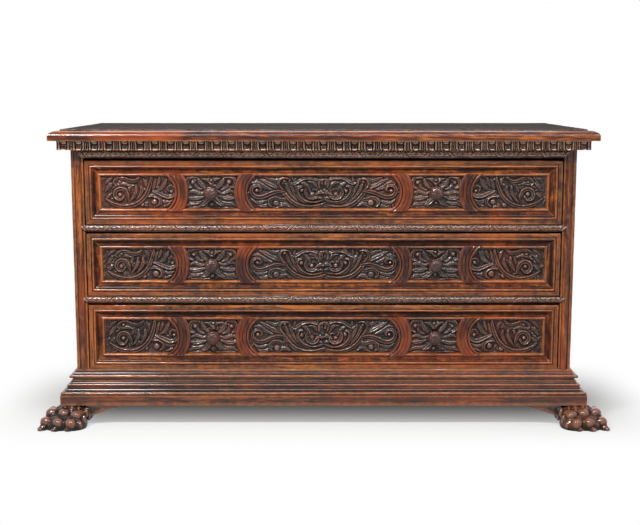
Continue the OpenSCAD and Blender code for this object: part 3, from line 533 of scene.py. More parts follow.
# the top board: a broad sheet with its small step, and the rounded edge that runs round three sides
def makeTop():
    look = {"width": 31 * mm, "step": 4 * mm, "round": 16 * mm, "chamfer": 2.5 * mm, "quirk": 1.4 * mm,
            "station": 5 * mm, "arris": 1.5 * mm, "skin": 0.4 * mm,
            "swells": ((90 * mm, 0.3 * mm), (25 * mm, 0.1 * mm))}
    w, thick, arris = look["width"], topHigh.z - topLow.z, look["arris"]
    roundTop = thick - look["step"]
    flatX, flatFront = topHigh.x - w, topLow.y + w
    flatY = topHigh.y - flatFront
    deselect()
    bpy.ops.mesh.primitive_grid_add(x_subdivisions=round(2 * flatX / look["station"]),
                                    y_subdivisions=round(flatY / look["station"]), size=1)
    board = nameLast("board")
    place = points(board)
    place[:, 0] *= 2 * (flatX - arris)
    place[:, 1] = flatFront + arris + (place[:, 1] + 0.5) * (flatY - arris)
    place[:, 2] = topHigh.z - look["skin"]
    setPoints(board, place)
    bpy.ops.object.mode_set(mode="EDIT")
    pickEdges(board, lambda e: e.is_boundary)
    # how far out and how far down each ring of the worn arris lies, then the wall inside the edge
    for out, down in ((0.6, 0.5), (1.1, 1.1), (1.5, 1.9), (1.5, 3.2), (1.5, 5.6), (1.5, 33.6)):
        extrude((0, 0, -0.0001))
        shape = bmesh.from_edit_mesh(board.data)
        for vert in shape.verts:
            if vert.select:
                if abs(vert.co.x) > flatX - arris - 0.0001:
                    vert.co.x = math.copysign(flatX - arris + out * mm, vert.co.x)
                if vert.co.y < flatFront + arris + 0.0001:
                    vert.co.y = flatFront + arris - out * mm
                vert.co.z = topHigh.z - down * mm
        bmesh.update_edit_mesh(board.data)
    bpy.ops.mesh.edge_face_add()
    closeUp(board)
    place = points(board)
    rise = sum(softNoise(place, size, 5 + k) * high for k, (size, high) in enumerate(look["swells"]))
    flat = place[:, 2] > topHigh.z - 1 * mm
    place[flat, 2] += rise[flat]
    setPoints(board, place)
    handWorn(board, 11, (topLow, topHigh), sway=0, nick=1.2 * mm, rounds=4, full=0.5 * mm)
    board.data.materials.append(sheetWalnut)

    # the edge's outline: chamfer below, flat, quarter round above, and a small quirk at the sheet
    edge = [(0, 0), (w - look["chamfer"], 0), (w - 0.8 * mm, 0.7 * mm), (w, look["chamfer"])]
    low = roundTop - look["round"]
    edge += [(w, look["chamfer"] + (low - look["chamfer"]) * k / 4) for k in (1, 2, 3)]
    edge += [(w - (w - 4 * mm) * (1 - math.sin(t)), low + look["round"] * math.cos(t) - 0.3 * mm)
             for t in (math.radians(5 * k) for k in range(18, -1, -1))]
    edge += [(2.6 * mm, roundTop - look["quirk"]), (0, roundTop - look["quirk"] - 0.4 * mm)]
    runs = mitredRuns("edge", edge, flatX, flatFront, dict.fromkeys(sides, (topLow, topHigh)))
    for run in runs.values():
        handWorn(run, 12, (topLow, topHigh), sway=0.5 * mm, nick=1.6 * mm)
        run.data.materials.append(edgeWalnut)
    piece = joined("topBoard", [board] + list(runs.values()))
    fit(piece, None, "carcass", "top_board")


makeTop()
print("top made")


# outlines of the plinth and the base moulding, as the frame has them: flat board, beads and hollows
def plinthOutlines():
    look = {"boardOut": 45 * mm, "boardHigh": 31 * mm, "fillet": 1.5 * mm, "lowBead": 4.75 * mm,
            "lowHollow": 12 * mm, "highBead": 4 * mm, "highHollow": 6 * mm, "groove": 6 * mm,
            "baseBead": 5 * mm, "baseHollow": 8.5 * mm}
    out, high, fillet = look["boardOut"], look["boardHigh"], look["fillet"]
    lowR, lowH, highR, highH = (look[k] for k in ("lowBead", "lowHollow", "highBead", "highHollow"))
    total = plinthHigh.z - plinthLow.z
    lowC = out - fillet - lowR
    lowTop = high + 2 * lowR
    highOut = lowC - 0.25 * mm - lowH
    highFoot = lowTop + lowH + fillet
    shelf = highOut - highR - 1 * mm - highH
    plinth = [(0, 0), (out, 0), (out, high), (out - fillet, high)]
    plinth += arc(lowC, high + lowR, lowR, -60, 90, 10)
    plinth += arc(lowC - 0.75 * mm, lowTop + lowH, lowH, 270, 180, 14)
    plinth += arc(highOut - highR, highFoot + highR, highR, -60, 90, 10)
    plinth += arc(highOut - highR - 1 * mm, highFoot + 2 * highR + highH, highH, 270, 180)
    plinth += [(shelf, total), (0, total)]
    groove, beadR, hollowR = shelf - 3.5 * mm, look["baseBead"], look["baseHollow"]
    footHigh, baseTall = look["groove"], baseHigh.z - baseLow.z
    base = [(0, 0), (groove, 0), (groove, footHigh)]
    base += arc(groove + 4 * mm, footHigh + beadR, beadR, -90, 90, 14)
    base += arc(groove + 2 * mm, footHigh + 2 * beadR + hollowR, hollowR, 270, 180, 14)
    base += [(groove + 2 * mm - hollowR, baseTall - 3.5 * mm), (groove - hollowR, baseTall), (0, baseTall)]
    return {"plinth": plinth, "base_moulding": base}


def makePlinth():
    for part, outline in plinthOutlines().items():
        label = "plinth" if part == "plinth" else "baseMoulding"
        boxes = {side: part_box(part + "_" + side) for side in sides}
        runs = mitredRuns(label, fine(outline, 3 * mm), halfW, faceY, boxes)
        for (side, run), seed, axis in zip(runs.items(), (21, 22, 24), "xyy"):
            handWorn(run, seed, boxes[side], sway=0.5 * mm, nick=1.5 * mm, shadeSheenReach=1.1 * mm)
            fit(run, plinthWalnut[axis], "carcass", part + "_" + side)


makePlinth()
print("plinth made")


# stiles: a board with two grooves, and a raised band that meets the ribbon bead in a mitre
beadLook = {"width": 18 * mm, "out": 7 * mm, "bandIn": 20 * mm, "topUp": 11.5 * mm}
bandX = halfW - beadLook["bandIn"]
beadLevels = {"rail_top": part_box("rail_top")[0].z + beadLook["topUp"]}
for node in ("rail_upper", "rail_lower"):
    low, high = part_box(node)
    beadLevels[node] = (low.z + high.z) / 2


def beadOutline(root):
    half, out = beadLook["width"] / 2, beadLook["out"]
    radius = (half * half + out * out) / (2 * out)
    turn = math.degrees(math.asin(half / radius))
    return [(-root, -half)] + arc(out - radius, 0, radius, -turn, turn, 16) + [(-root, half)]


def makeStiles():
    look = {"width": 36 * mm, "thick": 22 * mm, "groove": 1.8 * mm}
    groove, half = look["groove"], beadLook["width"] / 2
    edges = [0]
    for start in (beadLook["bandIn"] - half - 0.4 * mm - groove, beadLook["bandIn"] + half + 0.4 * mm):
        edges += [start, start + groove]
    front = [(0, 0)]
    for a, b in ((edges[1], edges[2]), (edges[3], edges[4])):
        front += [(0, a), (-groove, a + 0.3 * mm), (-groove, b - 0.3 * mm), (0, b)]
    outline = front + [(0, look["width"]), (-look["thick"], look["width"]), (-look["thick"], 0)]
    steps = []
    for (a, b), (c, d) in zip(outline, outline[1:] + outline[:1]):
        count = max(1, round(abs(d - b) / (3 * mm))) if a == 0 and c == 0 else 1
        steps += [(a + (c - a) * k / count, b + (d - b) * k / count) for k in range(count)]
    topZ = beadLevels["rail_top"]
    for side, s in (("left", -1), ("right", 1)):
        low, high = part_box("stile_" + side)
        board = mouldingRun("stile", steps, (s * halfW, faceY, low.z), (0, -1, 0), (-s, 0, 0),
                            (0, 0, 1), high.z - low.z, 5 * mm)
        band = mouldingRun("band", beadOutline(1 * mm), (s * bandX, faceY, baseHigh.z), (0, -1, 0),
                           (-s, 0, 0), (0, 0, 1), topZ + half - baseHigh.z + 1 * mm, 3 * mm,
                           [((s * bandX, faceY, topZ), (s, 0, -1))])
        for part, seed in ((board, 31), (band, 33)):
            handWorn(part, seed + s, (low, high), sway=0.3 * mm, nick=1.0 * mm)
        piece = joined("stile" + side.capitalize(), [board, band])
        fit(piece, walnut["z"], "carcass", "stile_" + side)


makeStiles()
print("stiles made")


# carving: every board is a fine grid that is raised or cut by a height in metres

def carvedSlab(name, acrossRange, upRange, step, height, back, keyhole=None):
    low, high = acrossRange
    foot, head = upRange
    nx, nz = round((high - low) / step), round((head - foot) / step)
    deselect()
    bpy.ops.mesh.primitive_grid_add(x_subdivisions=nx, y_subdivisions=nz, size=1)
    piece = nameLast(name)
    place = points(piece)
    column = np.rint((place[:, 0] + 0.5) * nx).astype(int)
    row = np.rint((place[:, 1] + 0.5) * nz).astype(int)
    across, up = np.linspace(low, high, nx + 1), np.linspace(foot, head, nz + 1)
    raised = height(across, up)
    place[:, 0], place[:, 2] = across[column], up[row]
    place[:, 1] = -raised[column, row]
    setPoints(piece, place)
    bpy.ops.object.mode_set(mode="EDIT")
    if keyhole:
        keyhole(piece)
    pickEdges(piece, lambda e: e.is_boundary)
    extrude((0, 0.001, 0))
    shape = bmesh.from_edit_mesh(piece.data)
    for vert in shape.verts:
        if vert.select:
            vert.co.y = back
    bmesh.update_edit_mesh(piece.data)
    bpy.ops.mesh.fill(use_beauty=False)
    closeUp(piece)
    return piece


def softened(values, rounds):      # a height grid rubbed soft
    for _ in range(rounds):
        edge = np.pad(values, 1, mode="edge")
        values = (edge[:-2, 1:-1] + edge[2:, 1:-1] + edge[1:-1, :-2] + edge[1:-1, 2:] + 4 * values) / 8
    return values


# egg frieze: in each unit a lobe hangs over a sloping tongue between two ridges that close in at the
# bottom, and a pair of thin ridges stands between two units
friezeLook = {"pitch": 44.5 * mm, "out": 35 * mm, "fillet": 2 * mm, "deep": 6.8 * mm,
              "ridge": 13.9 * mm, "tongue": 9.4 * mm, "tongueHigh": 16.5 * mm, "slope": 5.2 * mm,
              "lobe": 9.8 * mm, "slip": 0.8 * mm, "rubbed": 0.45 * mm, "step": 1.1 * mm}


def friezeHeight(length, tall):
    look = friezeLook
    pitch = length / round(length / look["pitch"])
    deep = look["deep"]

    def height(across, up):
        x, z = np.meshgrid(across, up, indexing="ij")
        unit = np.floor(x / pitch)
        off = x - (unit + 0.5) * pitch + look["slip"] * np.sin(unit * 2.3)
        away = np.abs(off)
        depth = np.full(x.shape, deep)
        # the tongue, which slopes back towards the top
        edge = away / (look["tongue"] - 1.2 * mm * (1 - z / tall))
        face = 0.5 * mm + look["slope"] * np.clip(z / look["tongueHigh"], 0, 1) + 2.2 * mm * edge ** 4
        depth = np.where(edge < 1, np.minimum(depth, face), depth)
        # the two ridges beside it
        closing = look["ridge"] - 1.8 * mm * np.clip(1 - z / (10 * mm), 0, 1) ** 2
        ridge = np.clip(1 - ((away - closing) / (3.3 * mm)) ** 2, 0, None)
        depth = np.minimum(depth, deep - (deep - 0.7 * mm) * np.sqrt(ridge))
        # the lobe that hangs from the fillet, in a dark ring
        lobe = np.hypot(off, (z - (tall - look["fillet"])) * 1.2) / look["lobe"]
        hung = 0.5 * mm + 3.6 * mm * np.clip(lobe, 0, 1) ** 3
        depth = np.where(lobe < 1, hung, np.where(lobe < 1.22, np.maximum(depth, deep), depth))
        # the thin ridges between two units, and the fillet
        thin = np.clip(1 - ((away - pitch / 2 + 2.4 * mm) / (1.5 * mm)) ** 2, 0, None)
        between = 5 * mm - 4.2 * mm * np.sqrt(thin)
        depth = np.where(away > look["ridge"] + 3.1 * mm, np.minimum(between, 5 * mm), depth)
        depth = np.where(z > tall - look["fillet"], 0, depth)
        return look["out"] - softened(depth, 1) - look["rubbed"] * (1 + gridNoise(x, z, 14 * mm, 41))
    return height


def makeFrieze(name, node, length, turn, shift, cuts, axis):
    low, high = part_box(node)
    tall = high.z - low.z
    piece = carvedSlab(name, (0, length), (0, tall), friezeLook["step"], friezeHeight(length, tall), 0)
    place = points(piece)
    markWearAndLight(piece, standOff(piece, place, facings(piece), 4) / (0.5 * mm))
    setPoints(piece, turned(place, 0, 1, turn) + [shift[0], shift[1], low.z])
    editMode(piece)
    for where, normal in cuts:
        bisectAway(where, normal)
    closeUp(piece)
    fit(piece, ribLitWalnut[axis], "carcass", node)


friezeOut = friezeLook["out"]
sideRun = backY - faceY + friezeOut
makeFrieze("friezeFront", "frieze_front", 2 * (halfW + friezeOut), 0, (-halfW - friezeOut, faceY),
           [((-halfW, faceY, 0), (1, -1, 0)), ((halfW, faceY, 0), (-1, -1, 0))], "x")
makeFrieze("friezeLeft", "frieze_left", sideRun, -math.pi / 2, (-halfW, backY),
           [((-halfW, faceY, 0), (-1, 1, 0))], "y")
makeFrieze("friezeRight", "frieze_right", sideRun, math.pi / 2, (halfW, faceY - friezeOut),
           [((halfW, faceY, 0), (1, 1, 0))], "y")
print("frieze made")


# rails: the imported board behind, and a stick of leaves in front, crossed by ribbons that lean left
# and right by turns
ribbonLook = {"pitch": 68 * mm, "halfWide": 5.2 * mm, "lobeLong": 15 * mm, "leafDeep": 2.3 * mm,
              "lobeDeep": 1.3 * mm, "grooveDeep": 3.2 * mm, "step": 1.2 * mm}


def ribbonHeight(across, up):
    look, half, out = ribbonLook, beadLook["width"] / 2, beadLook["out"]
    x, s = np.meshgrid(across, up, indexing="ij")
    pitch = look["pitch"]
    radius = (half * half + out * out) / (2 * out)
    raised = np.sqrt(np.clip(radius ** 2 - s ** 2, 0, None)) - (radius - out)
    unit = np.floor(np.abs(x) / pitch)
    off = np.abs(x) - (unit + 0.5) * pitch
    lean = np.where(unit % 2 == 0, 1, -1)
    along = np.abs(off - lean * s)
    swept = off / look["lobeLong"] - np.abs(s) / (1.5 * half) * np.sign(off)
    lobes = np.abs(np.sin(math.pi * swept))
    # lobes of the leaf with a midrib groove, then the ribbon with its own line and a groove beside it
    leaf = look["leafDeep"] + look["lobeDeep"] * (1 - lobes) ** 2 + 0.8 * mm * np.exp(-(s / (0.9 * mm)) ** 2)
    leaf += 1.2 * mm * np.clip((np.abs(s) - 0.7 * half) / (0.2 * half), 0, 1)
    cut = np.where(along < look["halfWide"], 1.6 * mm * np.exp(-(along / (1.3 * mm)) ** 2), leaf)
    cut += look["grooveDeep"] * np.exp(-((along - look["halfWide"] - 1.3 * mm) / (1.2 * mm)) ** 2)
    cut += 0.2 * mm * (1 + gridNoise(x, s, 12 * mm, 51))
    return softened(raised - np.minimum(cut, raised + 0.2 * mm), 1)


def makeRails():
    half = beadLook["width"] / 2
    for node, label in (("rail_top", "railTop"), ("rail_upper", "railUpper"), ("rail_lower", "railLower")):
        z = beadLevels[node]
        board = copyNode(label, node, [((0, faceY, 0), (0, 1, 0))])
        markWearAndLight(board)
        reach = bandX + (half + 1 * mm if node == "rail_top" else 0)
        bead = carvedSlab("bead", (-reach, reach), (-half, half), ribbonLook["step"], ribbonHeight, 1 * mm)
        place = points(bead)
        markWearAndLight(bead, standOff(bead, place, facings(bead), 4) / (0.45 * mm))
        setPoints(bead, place + np.array([0, faceY, z]))
        editMode(bead)
        for s in (-1, 1):
            for up in ((1,) if node == "rail_top" else (1, -1)):
                bisectAway((s * bandX, faceY, z), (-s, 0, up))
        closeUp(bead)
        piece = joined(label, [board, bead])
        # the top rail, in the top's shadow, gets the copy painted lighter
        finish = ribLitWalnut["x"] if node == "rail_top" else railWalnut
        fit(piece, finish, "carcass", node)


makeRails()
print("rails made")


# the fronts of the drawers: moulding, arches, knobs, keyholes and carving share these values
frameLook = {"width": 47 * mm, "thick": 15 * mm, "band": 12 * mm, "beadR": 3.5 * mm,
             "innerR": 3.8 * mm, "quirkDeep": 4 * mm, "quirkWide": 1.6 * mm}
archLook = {"radius": 60 * mm, "width": 41 * mm, "thick": 12.5 * mm, "lap": 8 * mm,
            "middleEnd": 226 * mm, "sideEnd": 441 * mm}
knobX = (archLook["middleEnd"] + archLook["sideEnd"]) / 2
keyholeLook = {"drop": 71 * mm, "round": 7 * mm, "length": 18 * mm, "pin": 6.2 * mm}
# sprigs are small leaves that fill the ground; slip and fuller are how far a hand strays from the drawing
carvingLook = {"step": 1.25 * mm, "ground": 0.8 * mm, "drawnHigh": 94 * mm, "highest": 10.5 * mm,
               "moat": 1.9 * mm, "sprigs": 420, "slip": 1.1 * mm, "fuller": (1.05, 1.25),
               "collar": 13.5 * mm, "rough": ((6 * mm, 0.45 * mm), (2.6 * mm, 0.15 * mm))}

# the carved fields: scrolls, stems, leaves and balls, each as (kind, rise, [(across, up, half width)])
# in millimetres from the middle of its field; the list is cut in this order, later ones lie on top
middleStrokes = [
    ("leaf", 6.0, [(128, 8, 3), (148, 18, 9), (168, 28, 9.5), (190, 40, 2)]),
    ("leaf", 5.5, [(154, 6, 2), (176, 15, 8), (196, 27, 7.5), (212, 27, 2)]),
    ("leaf", 5.0, [(172, 44, 2), (156, 38, 6.5), (142, 34, 6), (131, 43, 2)]),
    ("leaf", 5.0, [(158, -30, 3), (176, -41, 7.5), (192, -37, 7), (208, -24, 2)]),
    ("leaf", 5.0, [(168, -24, 2), (184, -30, 6), (200, -30, 5), (212, -20, 1.5)]),
    ("leaf", 5.5, [(100, -42, 2), (114, -35, 6.5), (126, -37, 7), (140, -45, 2)]),
    ("leaf", 6.5, [(114, 30, 2), (109, 17, 6), (102, 3, 6.5), (92, -12, 6), (79, -27, 2)]),
    ("leaf", 7.0, [(102, 36, 2), (98, 22, 5.5), (92, 8, 6), (83, -7, 5.5), (72, -20, 2)]),
    ("leaf", 6.5, [(86, 42, 2), (88, 30, 5), (84, 18, 5), (78, 8, 2)]),
    ("leaf", 5.5, [(70, 31, 2), (58, 25, 5.5), (48, 15, 5.5), (42, 4, 2)]),
    ("leaf", 6.0, [(44, 30, 2), (31, 29, 5.5), (21, 20, 5.5), (15, 8, 2)]),
    ("leaf", 5.5, [(4, -18, 2), (14, -17, 5), (28, -16, 5.5), (40, -9, 2)]),
    ("stem", 8.0, [(110, -14, 3), (122, -20, 5.4), (136, -16, 6.2), (150, -15, 6.2), (161, -22, 5.6),
                   (163, -33, 4.6), (156, -41, 2.5)]),
    ("ball", 8.5, [(141, -33, 8.5)]),
    ("stem", 8.5, [(96, 27, 2.5), (88, 23, 4.6), (76, 29, 5.4), (62, 38, 5.8), (44, 41, 5.8), (27, 39, 5.4),
                   (14, 32, 4.8), (11, 22, 3.6), (15, 14, 2.2)]),
    ("stem", 8.5, [(4, -24, 3.4), (22, -31, 5.8), (42, -31, 6.4), (60, -24, 6.4), (73, -12, 6),
                   (79, 2, 5.4), (76, 14, 4.4), (66, 17, 3)]),
    ("ball", 8.5, [(66, 5, 6)]),
    ("stem", 8.8, [(50, 12, 3), (54, 0, 5.2), (48, -13, 5.8), (34, -19, 5.8), (21, -13, 5.2),
                   (17, -2, 4.4), (23, 7, 3.4), (32, 7, 2.4)]),
    ("ball", 8.8, [(36, -4, 6.5)]),
    ("leaf", 8.5, [(1, -2, 3.5), (9, 0, 6.5), (18, -3, 5), (25, -8, 2)]),
    ("stem", 9.4, [(-2, -34, 5), (16, -40, 6.4), (38, -43, 6.8), (62, -41, 6.8), (84, -33, 6.6),
                   (101, -20, 6.4), (114, -5, 6.2), (125, 9, 5.8), (133, 23, 5.2), (130, 36, 4.2),
                   (118, 42, 3.2), (106, 40, 2)]),
    ("ball", 8.0, [(117, 33, 4.6)]),
    ("stem", 9.6, [(116, 0, 3), (136, 2, 5.8), (156, -3, 6.6), (175, -11, 7), (193, -14, 7),
                   (208, -7, 6.4), (213, 7, 5.8), (205, 18, 5), (191, 18, 4.2), (185, 8, 3.2),
                   (192, 1, 2)]),
    ("ball", 9.2, [(199, 5, 5.5)]),
    ("leaf", 8.0, [(1, 39, 3), (9, 37, 4.6), (13.5, 29, 4.4), (13, 20, 3.6), (9, 12, 1.5)]),
]
knobStrokes = [
    ("leaf", 5.0, [(8, -44, 1.5), (26, -45, 4), (48, -44, 4), (66, -45, 1)]),
    ("leaf", 5.5, [(28, -29, 3), (44, -33, 7), (60, -34, 7), (76, -42, 1.5)]),
    ("leaf", 6.0, [(24, -12, 3), (40, -17, 7.5), (57, -19, 7), (73, -14, 1.5)]),
    ("leaf", 6.0, [(18, 2, 2.5), (33, -3, 5.4), (46, 2, 6), (58, 3, 5.2), (72, -3, 1.5)]),
    ("leaf", 6.0, [(28, 8, 2), (40, 12, 5), (48, 22, 4.5), (46, 34, 1.5)]),
    ("leaf", 6.5, [(14, 10, 3), (26, 20, 7), (33, 31, 6.5), (38, 43, 2)]),
    ("leaf", 7.5, [(6, -14, 4), (14, -25, 9), (24, -34, 8), (36, -38, 2)]),
    ("leaf", 7.5, [(0, 22, 4), (7, 33, 6.5), (17, 38, 5.5), (28, 40, 1.5)]),
    ("ball", 7.5, [(0, 36, 5)]),
    ("ball", 7.5, [(0, -34, 5.5)]),
    ("stem", 9.0, [(40, 43, 2.5), (51, 46, 4.8), (64, 42, 5.6), (71, 31, 5.4), (68, 18, 4.8), (58, 12, 3)]),
    ("ball", 8.5, [(55, 29, 6)]),
]
sideStrokes = [
    ("leaf", 5.5, [(92, 42, 2), (86, 30, 6), (82, 14, 3)]),
    ("leaf", 6.0, [(57, 38, 2), (62, 24, 6.5), (66, 8, 2.5)]),
    ("leaf", 6.5, [(24, 42, 2), (30, 29, 7), (40, 14, 7), (56, 4, 2)]),
    ("leaf", 5.5, [(6, 26, 1.5), (12, 34, 4.5), (20, 42, 2)]),
    ("leaf", 6.0, [(44, 42, 2), (47, 31, 5.5), (52, 18, 2)]),
    ("leaf", 6.0, [(40, -24, 2.5), (27, -28, 6.5), (15, -27, 5), (6, -21, 1.5)]),
    ("leaf", 5.0, [(34, -42, 2), (24, -38, 4.5), (15, -34, 1.5)]),
    ("leaf", 7.0, [(101, 18, 3), (100, 5, 6), (106, -10, 5.5), (118, -26, 2)]),
    ("leaf", 7.0, [(117, 19, 3), (117, 5, 6), (124, -11, 5.5), (138, -28, 2)]),
    ("leaf", 6.5, [(131, 22, 2.5), (134, 12, 5), (140, -2, 2)]),
    ("leaf", 5.5, [(134, 21, 2), (152, 25, 5.5), (170, 21, 5), (186, 12, 1.5)]),
    ("leaf", 5.5, [(186, 26, 2.5), (196, 17, 7), (206, 4, 2)]),
    ("leaf", 5.5, [(188, -4, 2.5), (197, -10, 6.5), (206, -20, 2)]),
    ("leaf", 5.0, [(186, 44, 2), (196, 38, 5.5), (206, 28, 2)]),
    ("ball", 8.0, [(96, -37, 6)]),
    ("stem", 8.4, [(80, -12, 3), (68, -10, 5.2), (55, -12, 5.8), (45, -21, 5.6), (45, -33, 4.8),
                   (55, -41, 2.8)]),
    ("ball", 8.8, [(62, -29, 8.5)]),
    ("stem", 8.4, [(104, 44, 3), (118, 34, 5.2), (137, 35, 5.8), (154, 42, 5.4), (171, 39, 5),
                   (181, 29, 4), (175, 20, 2.4)]),
    ("ball", 7.8, [(164, 31, 4.6)]),
    ("stem", 9.2, [(138, -24, 2.5), (141, -8, 5.2), (148, 6, 6), (162, 12, 6.4), (176, 6, 6),
                   (181, -8, 5.8), (173, -20, 5), (161, -21, 4), (153, -12, 3)]),
    ("ball", 8.8, [(165, -6, 6)]),
    ("stem", 9.6, [(68, 44, 3), (72, 27, 5.4), (78, 9, 6), (88, -11, 6.4), (103, -27, 6.8),
                   (123, -38, 7), (146, -42, 6.8), (170, -39, 6.4), (190, -31, 5.2), (206, -20, 2)]),
    ("stem", 9.4, [(66, 4, 3), (51, -2, 5.4), (38, -8, 6), (24, -13, 6.4), (9, -11, 6.2),
                   (0, 1, 5.6), (3, 14, 5), (14, 19, 4.2), (23, 12, 3.2), (18, 3, 2)]),
    ("ball", 8.8, [(11, 4, 5.5)]),
]


def smoothPath(knots, hand):       # a smooth line through the given knots, mirrored for hand -1
    k = np.array(knots, float) * [hand, 1, 1] * mm
    if len(k) == 1:
        return np.vstack([k, k + [0.01 * mm, 0, 0]])
    k = np.vstack([2 * k[0] - k[1], k, 2 * k[-1] - k[-2]])
    spans = len(knots) - 1
    t = np.linspace(0, spans, 7 * spans + 1)
    i = np.minimum(t.astype(int), spans - 1)
    f = (t - i)[:, None]
    a, b, c, d = k[i], k[i + 1], k[i + 2], k[i + 3]
    return 0.5 * (2 * b + (c - a) * f + (2 * a - 5 * b + 4 * c - d) * f ** 2
                  + (3 * b - a - 3 * c + d) * f ** 3)


# a stroke is rounded over its width u from 0 to 1, keeps what lies higher, and cuts a moat round it
def carveStroke(raised, across, up, kind, rise, path, hand):
    gap = carvingLook["moat"]
    width = path[:, 2].max() + gap
    i0, i1 = np.searchsorted(across, [path[:, 0].min() - width, path[:, 0].max() + width])
    j0, j1 = np.searchsorted(up, [path[:, 1].min() - width, path[:, 1].max() + width])
    if i1 - i0 < 2 or j1 - j0 < 2:
        return
    x, z = np.meshgrid(across[i0:i1], up[j0:j1], indexing="ij")
    u = np.full(x.shape, 99.0)
    side, place, halfWidth = np.ones(x.shape), np.zeros(x.shape), np.ones(x.shape) * gap
    for k in range(len(path) - 1):
        a, d = path[k], path[k + 1] - path[k]
        t = np.clip(((x - a[0]) * d[0] + (z - a[1]) * d[1]) / (d[0] ** 2 + d[1] ** 2), 0, 1)
        offX, offZ, w = x - a[0] - t * d[0], z - a[1] - t * d[1], a[2] + t * d[2]
        away = np.hypot(offX, offZ) / w
        closer = away < u
        u = np.where(closer, away, u)
        side = np.where(closer, np.sign(d[0] * offZ - d[1] * offX) * hand, side)
        place = np.where(closer, (k + t) / (len(path) - 1), place)
        halfWidth = np.where(closer, w, halfWidth)
    signed = u * side
    long = np.hypot(*np.diff(path[:, :2], axis=0).T).sum()
    waves = max(2, round(long / (9 * mm if kind == "leaf" else 14 * mm)))
    notch = (0.5 - 0.5 * np.cos(2 * math.pi * waves * place)) ** 2
    if kind == "leaf":
        u = u * (1 + 0.25 * notch * (place > 0.1))
    elif kind == "stem":
        u = u * (1 + 0.1 * notch * (signed > 0))
    dome = np.sqrt(np.clip(1 - u * u, 0, 1))
    if kind == "stem":            # a high edge on one side, a low one on the other
        edges = 0.5 * np.exp(-((signed - 0.4) / 0.3) ** 2) + 0.25 * np.exp(-((signed + 0.75) / 0.2) ** 2)
        shape = dome ** 0.7 * (0.5 + edges) * (1 - 0.14 * notch * np.clip(signed * 1.5, 0, 1))
    elif kind == "leaf":
        folds = 0.5 - 0.5 * np.cos(2 * math.pi * (1.6 * signed + 0.5))
        shape = dome ** 0.7 * (1 - 0.45 * folds * np.clip(place * 6, 0, 1))
    else:
        shape = 0.8 * dome
    window = raised[i0:i1, j0:j1]
    moat = np.clip((u - 1) * halfWidth / gap, 0, 1)
    around = np.minimum(window, 0.5 * mm + (window - 0.5 * mm) * moat ** 0.7)
    raised[i0:i1, j0:j1] = np.where(u < 1, np.maximum(rise * shape, 0.35 * window), around)


def carvedFields(drawer, seed):
    look, spot = carvingLook, drawers[drawer]
    tall = spot["high"] - spot["low"] - 2 * frameLook["width"]
    grow = tall / look["drawnHigh"]
    patterns = [(middleStrokes, 0, hand) for hand in (1, -1)]
    patterns += [(knobStrokes, s * knobX, hand) for s in (-1, 1) for hand in (1, -1)]
    patterns += [(sideStrokes, s * archLook["sideEnd"], s) for s in (-1, 1)]

    def height(across, up):
        x, z = np.meshgrid(across, up, indexing="ij")
        raised = np.full(x.shape, look["ground"])
        chance = np.random.default_rng(seed)
        for _ in range(look["sprigs"]):
            turn, bend, long = chance.uniform(0, 6.28), chance.uniform(-0.8, 0.8), chance.uniform(8, 15)
            knots = [(0, 0, 1.2), (long / 2 * math.cos(turn), long / 2 * math.sin(turn), 3.4),
                     (long * math.cos(turn + bend), long * math.sin(turn + bend), 1)]
            path = smoothPath(knots, 1)
            path[:, :2] += chance.uniform((across[0], up[0]), (across[-1], up[-1]))
            carveStroke(raised, across, up, "leaf", chance.uniform(3, 4.6) * mm, path, 1)
        for strokes, centre, hand in patterns:
            for kind, rise, knots in strokes:
                path = smoothPath(knots, hand)
                slip = chance.normal(0, look["slip"], 2)
                path[:, 0] += centre + slip[0]
                path[:, 1] = path[:, 1] * grow + spot["mid"] + slip[1]
                path[:, 2] *= chance.uniform(*look["fuller"])
                carveStroke(raised, across, up, kind, rise * mm * chance.uniform(0.9, 1.08), path, hand)
        raised = softened(raised, 1)
        for k, (size, deep) in enumerate(look["rough"]):
            raised = raised + gridNoise(x, z, size, seed + k) * deep
        edge = tall / 2 - np.abs(z - spot["mid"])
        raised = np.minimum(raised, look["ground"] + np.clip(edge, 0, None) * 2.5)
        for s in (-1, 1):         # the ground falls to the collar of each knob
            collar = np.hypot(x - s * knobX, z - spot["mid"]) - look["collar"]
            raised = np.minimum(raised, 0.3 * mm + np.clip(collar, 0, None) * 0.55)
        return np.clip(raised, 0.2 * mm, look["highest"])
    return height


# how far a place on a front lies outside its keyhole and the holes of its knobs, less than 0 inside
def holeDistance(drawer, x, z):
    spot = drawers[drawer]
    low = spot["high"] - keyholeLook["drop"] - keyholeLook["length"] / 2
    radius = keyholeLook["round"] / 2
    eye = low + keyholeLook["length"] - radius
    away = math.hypot(x, z - eye) - radius
    slot = max(abs(x) - radius / 2, low - z, z - eye)
    pins = min(math.hypot(x - s * knobX, z - spot["mid"]) - keyholeLook["pin"] for s in (-1, 1))
    return min(away, slot, pins)


def keyholeShade(drawer, place):      # painted shade: the walls of a keyhole are painted black, where the deep hole is dark
    dirtAndShade = np.zeros(len(place))
    for k in np.flatnonzero(np.abs(place[:, 0]) < 8 * mm):
        dirtAndShade[k] = -2.5 if holeDistance(drawer, place[k, 0], place[k, 2]) < 0.8 * mm else 0
    return dirtAndShade


